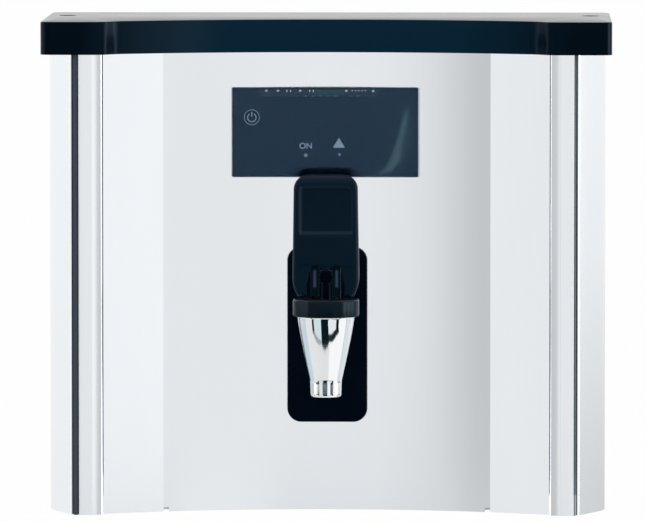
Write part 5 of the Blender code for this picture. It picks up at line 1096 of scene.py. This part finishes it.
def lever_back(height):
    slim = SLIM_DEPTH - LEVER_FRONT
    share = min(max(height / (LEVER_TOP * 2 / 3), 0), 1)
    return FOOT_BACK + (slim - FOOT_BACK) * (1 - math.cos(math.pi * share)) / 2


def lever_ring(height, inset, open_back):
    half = lever_half(height + inset) - inset
    front = lever_front(height + inset) + inset
    back = lever_back(height) + (FAR if open_back else 0)
    edge = max(LEVER_EDGE - inset, LEVER_EDGE / 6)
    left = arc(edge - half, front + edge, edge, math.pi, math.pi * 3 / 2, 10)
    right = arc(half - edge, front + edge, edge, -math.pi / 2, 0, 10)
    ring = left + right + [(half, back), (-half, back)]
    return [(x, TAP_Y + y, PIN_Z + height) for x, y in ring]


def lever_levels(low, high, bend):
    straight = [low + (high - bend - low) * index / 44 for index in range(44)]
    return straight + [high - bend + bend * math.sin(math.pi / 2 * index / 14 * 0.985) for index in range(15)]


def cam_curve(trim, steps=60):
    points = []
    for index in range(steps + 1):
        angle = CAM_START + (CAM_END - CAM_START) * index / steps
        radius = CAM_RADIUS + STEM_LIFT * max(angle / FULL_PULL, 0) - trim
        points.append((TAP_Y - math.sin(angle) * radius, PIN_Z - math.cos(angle) * radius))
    return points


def arch_half():
    lobe, radius = 0.0070, 0.0042
    spring = ARCH_HEIGHT - radius
    side = arc(lobe, spring, radius, 0, math.pi * 5 / 6, 18)
    path = [(0.0133, -CAM_RADIUS * 3 / 2), (0.0133, -CAM_RADIUS / 3)] + side + [(0.0021, 0.0048)]
    return [(x, PIN_Z + z) for x, z in path]


def pad_cutter(front):
    """The thumb recess: its rim rolls in and its floor meets the wall in a fillet."""
    steps = [(-0.0030, -0.0100), (-0.0015, -0.0002), (-0.0009, 0.0001), (-0.0003, 0.0005), (0.0007, 0.0013),
             (0.0013, 0.0016), (0.0023, 0.0017)]
    rings = []
    for inset, depth in steps:
        plan = rectangle((inset - PAD_HALF, PAD_HALF - inset),
                         (PIN_Z + PAD_LOW + inset, PIN_Z + PAD_HIGH - inset), PAD_CORNER - inset)
        rings.append([(x, front + depth, z) for x, z in plan])
    return loft("pad", rings)


def make_lever():
    low = -CAM_RADIUS * 3 / 2
    shell = loft("lever_shell", [lever_ring(h, 0, False) for h in lever_levels(low, LEVER_TOP, LEVER_CORNER)])
    inner_levels = lever_levels(low - LEVER_WALL, LEVER_TOP - LEVER_WALL, LEVER_CORNER - LEVER_WALL)
    inner = loft("inner", [lever_ring(h, LEVER_WALL, True) for h in inner_levels])
    trimmed = cam_curve(0.0014)
    reach = CAM_RADIUS * 2
    below = trimmed + [(TAP_Y - reach, trimmed[-1][1]), (TAP_Y - reach, PIN_Z - reach),
                       (TAP_Y + reach, PIN_Z - reach), (TAP_Y + reach, trimmed[0][1])]
    arch = arch_half() + mirrored(arch_half())
    front = TAP_Y - LEVER_FRONT
    cut(shell, inner, prism("below", below, -0.1, 0.1, "X"),
        prism("arch", arch, front - FAR, front + LEVER_WALL * 3 / 2, "Y"),
        pad_cutter(front),
        drill("hole", PIN_BORE, -0.013, 0.013, (0, TAP_Y, PIN_Z), axis="X"))
    soften(shell, 0.0005)
    finished(shell, "lever", "black_plastic", "tap_lever").data.materials[0] = lever_finish()
    # The cams' finish carries a painted highlight.
    cam_highlight_finish = cam_finish()
    wall = front + LEVER_WALL / 2
    arm = cam_curve(0) + [(TAP_Y - 0.0106, PIN_Z - CAM_RADIUS / 2), (TAP_Y - 0.0106, PIN_Z + ARCH_HEIGHT),
                          (wall, PIN_Z + ARCH_HEIGHT + 0.0014), (wall, PIN_Z + CAM_ARM_TOP),
                          (wall + LEVER_WALL, PIN_Z + CAM_ARM_TOP), (TAP_Y + 0.0056, PIN_Z + ARCH_HEIGHT),
                          (TAP_Y + 0.0070, PIN_Z - CAM_RADIUS / 3)]
    for sign, side in ((-1, "left"), (1, "right")):
        x = sign * CAM_MIDDLE
        cam = prism("cam_" + side, arm, x - CAM_HALF, x + CAM_HALF, "X", 0.0026, 7)
        hole = drill("hole", PIN_BORE, -0.03, 0.03, (0, TAP_Y, PIN_Z), axis="X")
        finished(crisp(cut(cam, hole)), "lever", "black_plastic", "tap_lever").data.materials[0] = cam_highlight_finish


make_lever()

# %% [markdown]
# ## A plain studio
# The world is an even white, so a colour renders about as it is written, and the floor is a large pale
# sheet below the boiler that keeps its soft shadow. Shiny metal shows what stands round it. A photographer
# hangs pale, grey and black cards out of the picture to draw the shape of chrome and steel, and so does this
# scene: the cards are seen only in reflections, and light nothing. Each card is given by the directions that
# it fills, seen from the tap: degrees to the right, and degrees above the level.

# %% Studio
world = bpy.data.worlds.new("studio")
world.use_nodes = True
sky = world.node_tree.nodes["Background"]
sky.inputs["Color"].default_value = (1, 1, 1, 1)
sky.inputs["Strength"].default_value = 1.0
bpy.context.scene.world = world
CARD_DISTANCE = 5.0
CARD_CENTRE = (0, TAP_Y, SPOUT_LOW + 0.03)


def sheet(name, rows, finish):
    """A flat or curved sheet of the studio, through rows of corners."""
    shape = bmesh.new()
    grid = [[shape.verts.new(corner) for corner in row] for row in rows]
    for low, high in zip(grid, grid[1:]):
        for index in range(len(low) - 1):
            shape.faces.new((low[index], low[index + 1], high[index + 1], high[index]))
    made = object_from(shape, name)
    made.data.materials.append(finish)
    return made


def towards(azimuth, elevation, distance=CARD_DISTANCE):
    """The place on a big cylinder round the tap that lies in the given direction."""
    turn = math.radians(azimuth)
    return (CARD_CENTRE[0] + distance * math.sin(turn), CARD_CENTRE[1] - distance * math.cos(turn),
            CARD_CENTRE[2] + distance * math.tan(math.radians(elevation)))


def glow(name, colour):
    """A card's surface: it gives back one even colour, whatever lights it."""
    made = Finish(name, (0, 0, 0), 1.0, Specular_IOR_Level=0.0, Emission_Color=(*colour, 1),
                  Emission_Strength=1.0)
    return made


def only_reflected(card):
    """Leaves a card to mirrors alone, so that it neither shows nor lights anything."""
    card.visible_camera = card.visible_diffuse = card.visible_shadow = card.visible_transmission = False


def reflected_card(name, corners, colour, distance):
    """A card with any number of corners, each an azimuth and an elevation in degrees."""
    shape = bmesh.new()
    shape.faces.new([shape.verts.new(towards(*corner, distance)) for corner in corners])
    card = object_from(shape, name)
    card.data.materials.append(glow(name, colour).material)
    only_reflected(card)


pale = Finish("floor_sheet", (0.99, 0.99, 0.99), 0.9, Specular_IOR_Level=0.0)
mottle = noise(pale.spot, 3, 3, 3)
pale.feed("Base Color", mixed(mottle, (0.995, 0.995, 0.995), (0.988, 0.988, 0.988)))
FLOOR = FOOT - 0.30
floor = sheet("floor", [[(-9, -9, FLOOR), (9, -9, FLOOR)], [(-9, 22, FLOOR), (9, 22, FLOOR)]], pale.material)
floor.visible_glossy = False

# %% [markdown]
# The long pale card goes round the front at the height that upright sheet metal mirrors. The dished panel
# looks a little left at its right side and a little right at its left side, so a card that changes in
# brightness round the room is what gives the panel, the wings and the posts their different greys. The two
# flanks look sideways past it, at a card of their own each, and the right one darkens towards the floor.

# %% Curved cards
def shaded_card(name, angles, low, high, along, stops, distance=CARD_DISTANCE, strength=1.0):
    """A curved card whose brightness runs through (place, level) stops along azimuth or height."""
    made = glow(name, (0.85, 0.86, 0.87))
    made.set("Emission Strength", strength)
    x, y, z = split(made.spot)
    place = {"azimuth": x.sum_with("ARCTAN2", x, TAP_Y - y) * (180 / math.pi), "height": z}[along]
    first, span = stops[0][0], stops[-1][0] - stops[0][0]
    levels = [((spot - first) / span, (level / strength,) * 3) for spot, level in stops]
    share = (place - first) / span
    made.feed("Emission Color", place.node("ShaderNodeValToRGB", {"stops": levels}, {0: share}))
    steps = [angles[0] + (angles[1] - angles[0]) * step / 80 for step in range(81)]
    card = sheet(name, [[towards(angle, low, distance) for angle in steps],
                        [towards(angle, high, distance) for angle in steps]], made.material)
    only_reflected(card)


shaded_card("long_card", (-80, 80), -8.0, 9.0, "azimuth",
            [(-80, 0.62), (-64, 0.62), (-51, 0.60), (-48.5, 0.935), (-43, 0.935), (-39.5, 0.56), (-34, 0.585),
             (-31, 0.64), (-27, 0.72), (-22, 0.80), (-12, 0.86), (0, 0.87), (20, 0.855), (37, 0.855),
             (42, 1.00), (49, 1.00), (51.5, 0.59), (64, 0.61), (76, 1.0), (80, 1.05)], strength=1.05)
shaded_card("left_flank_card", (-178, -100), -8.0, 3.0, "height", [(-1.0, 0.915), (0.3, 1.0)])
shaded_card("right_flank_card", (100, 178), -8.0, 3.0, "height",
            [(-1.0, 0.60), (-0.780, 0.66), (-0.715, 0.71), (-0.586, 0.81), (-0.456, 0.90), (-0.228, 0.955),
             (0.3, 1.0)])

# %% [markdown]
# The chrome cone leans back from the room, so it mirrors what lies low in front of it: the further down the
# cone, the lower. A tall black card with a round foot makes its dark heart. Two more cards run straight down
# and then in to that heart, and make the arms of the Y. The nozzle is nearly upright and mirrors a band
# of its own between the long card and the arms. Two bright windows at the sides catch the rounded edges of the black
# pieces, and everything low on the left is a little duller than on the right.

# %% Cards for the chrome and the black pieces
BLACK = (0.003, 0.010, 0.014)
NEAR, NEARER = CARD_DISTANCE - 0.03, CARD_DISTANCE - 0.06
shaded_card("low_left_room", (-140, 22), -40.0, -8.3, "azimuth",
            [(-140, 0.84), (-20, 0.80), (14, 0.80), (22, 1.0)], CARD_DISTANCE + 0.05)
LOW_CARDS = {
    "heart": (BLACK, NEARER, [(-21, -13), (10, -13), (10, -20.5), (16, -25.6), (16, -26.5), (12, -27.2),
                              (5, -27.5), (-2, -27.6), (-10, -27.5), (-17, -27.2), (-20, -26.5)]),
    "right_arm": (BLACK, 4.8, [(45, -13), (57, -13), (57, -19.5), (62, -21.3), (49, -23.3), (37.6, -24.3),
                               (17, -26.1), (16, -26.7), (10, -26.4), (10.6, -24.3), (46, -21.3), (45, -19.5)]),
    "left_arm_top": ((0.010, 0.016, 0.020), 4.8, [(-61, -13), (-52, -13), (-52, -21.7), (-57, -21.9),
                                                  (-61, -21.7)]),
    "left_arm_foot": ((0.34, 0.42, 0.45), 4.6, [(-57, -21.4), (-52, -21.7), (-26, -25.3), (-21, -25.8),
                                                (-21, -26.6), (-28, -26.2), (-57, -22.4)]),
    "left_glow": ((0.66, 0.78, 0.82), CARD_DISTANCE, [(-53, -13), (-20, -13), (-20, -26.0), (-40, -24.1),
                                                      (-53, -21.9)]),
    "right_glow": ((0.84, 0.87, 0.90), CARD_DISTANCE, [(8, -13), (46, -13), (46, -21.3), (10, -24.6)]),
    "nozzle_grey": ((0.050, 0.100, 0.140), NEAR, [(-24, -8.3), (10, -8.3), (10, -13), (-24, -13)]),
    "nozzle_left": ((0.010, 0.014, 0.018), NEAR, [(-76, -8.3), (-50, -8.3), (-50, -13), (-76, -13)]),
    "nozzle_right": ((0.020, 0.030, 0.038), NEAR, [(33, -8.3), (55, -8.3), (55, -13), (33, -13)]),
}
for name, (colour, distance, corners) in LOW_CARDS.items():
    reflected_card(name, corners, colour, distance)
shaded_card("right_window", (74, 99), -8.0, 32.0, "azimuth", [(74, 3.2), (84, 5.0), (99, 5.0)],
            NEARER, 5.0)
shaded_card("left_window", (-99, -74), -8.0, 32.0, "azimuth", [(-99, 2.0), (-84, 2.0), (-74, 2.0)],
            NEARER, 2.0)

# %% [markdown]
# The display's glass is flat, so it mirrors a small patch of the room without bending it. The real one
# shows the curved edge of a bright lamp there. A card of that shape hangs where the camera finds it in the glass: each
# point of the glass is carried on from the camera's mirrored line of sight to a place well in front of it.

# %% A lamp mirrored in the glass
def met_in_glass(x, z, distance=4.4):
    """The place in front of the glass that the camera sees mirrored at a point of the glass."""
    glass_y = WINDOW_LOW.y
    share = distance / (glass_y - camera.location.y)
    return (x + (x - camera.location.x) * share, glass_y - distance, z + (z - camera.location.z) * share)


def lamp_edge(name, points, colour):
    """A curved strip through points: millimetres in from the glass's right and lower edges, and a width."""
    outer, inner = [], []
    for right, up, width in points:
        x, z = WINDOW_HIGH.x - right / 1000, WINDOW_LOW.z + up / 1000
        outer.append(met_in_glass(x + width / 2000, z - width / 3000))
        inner.append(met_in_glass(x - width / 2000, z + width / 3000))
    card = sheet(name, [outer, inner], glow(name, colour).material)
    only_reflected(card)


lamp_edge("lamp_edge", [(7.5, 49.6, 0.8), (9.0, 42.7, 2.4), (10.5, 34.8, 3.2), (12.4, 26.9, 3.4),
                        (14.4, 19.0, 3.8), (16.4, 12.1, 4.4), (19.4, 6.6, 4.2), (23.8, 3.7, 2.4),
                        (29.7, 2.2, 1.2), (34.7, 1.0, 0.3)],
          (5.0, 4.6, 3.1))
lamp_edge("lamp_rim", [(5.5, 43.7, 0.4), (5.5, 35.8, 1.4), (7.0, 26.9, 1.8), (8.5, 20.0, 2.0),
                       (11.0, 14.0, 1.8), (13.9, 9.1, 0.8)], (2.6, 2.4, 1.7))

# %% [markdown]
# The glass also mirrors the top of the lever, as a dark band along its lower edge. The brushed sheet round it
# spreads that image so wide that it is lost. So the lever and its neighbours keep out of mirrors here, and a
# small dark card takes the lever's place in front of the glass.

# %% The lever in the glass
LEVER_IN_GLASS = [(-0.0238, 0.0178, -0.0660), (-0.0236, 0.0176, -0.0605), (-0.0226, 0.0166, -0.0590),
                  (-0.0205, 0.0146, -0.0583)]
rows = [[met_in_glass(left, z), met_in_glass(right, z)] for left, right, z in LEVER_IN_GLASS]
only_reflected(sheet("lever_in_glass", rows, glow("lever_dark", BLACK).material))
for name in ("lever_shell", "cam_left", "cam_right", "grip_collar", "valve_stem", "hinge_pin"):
    bpy.data.objects[name].visible_glossy = False
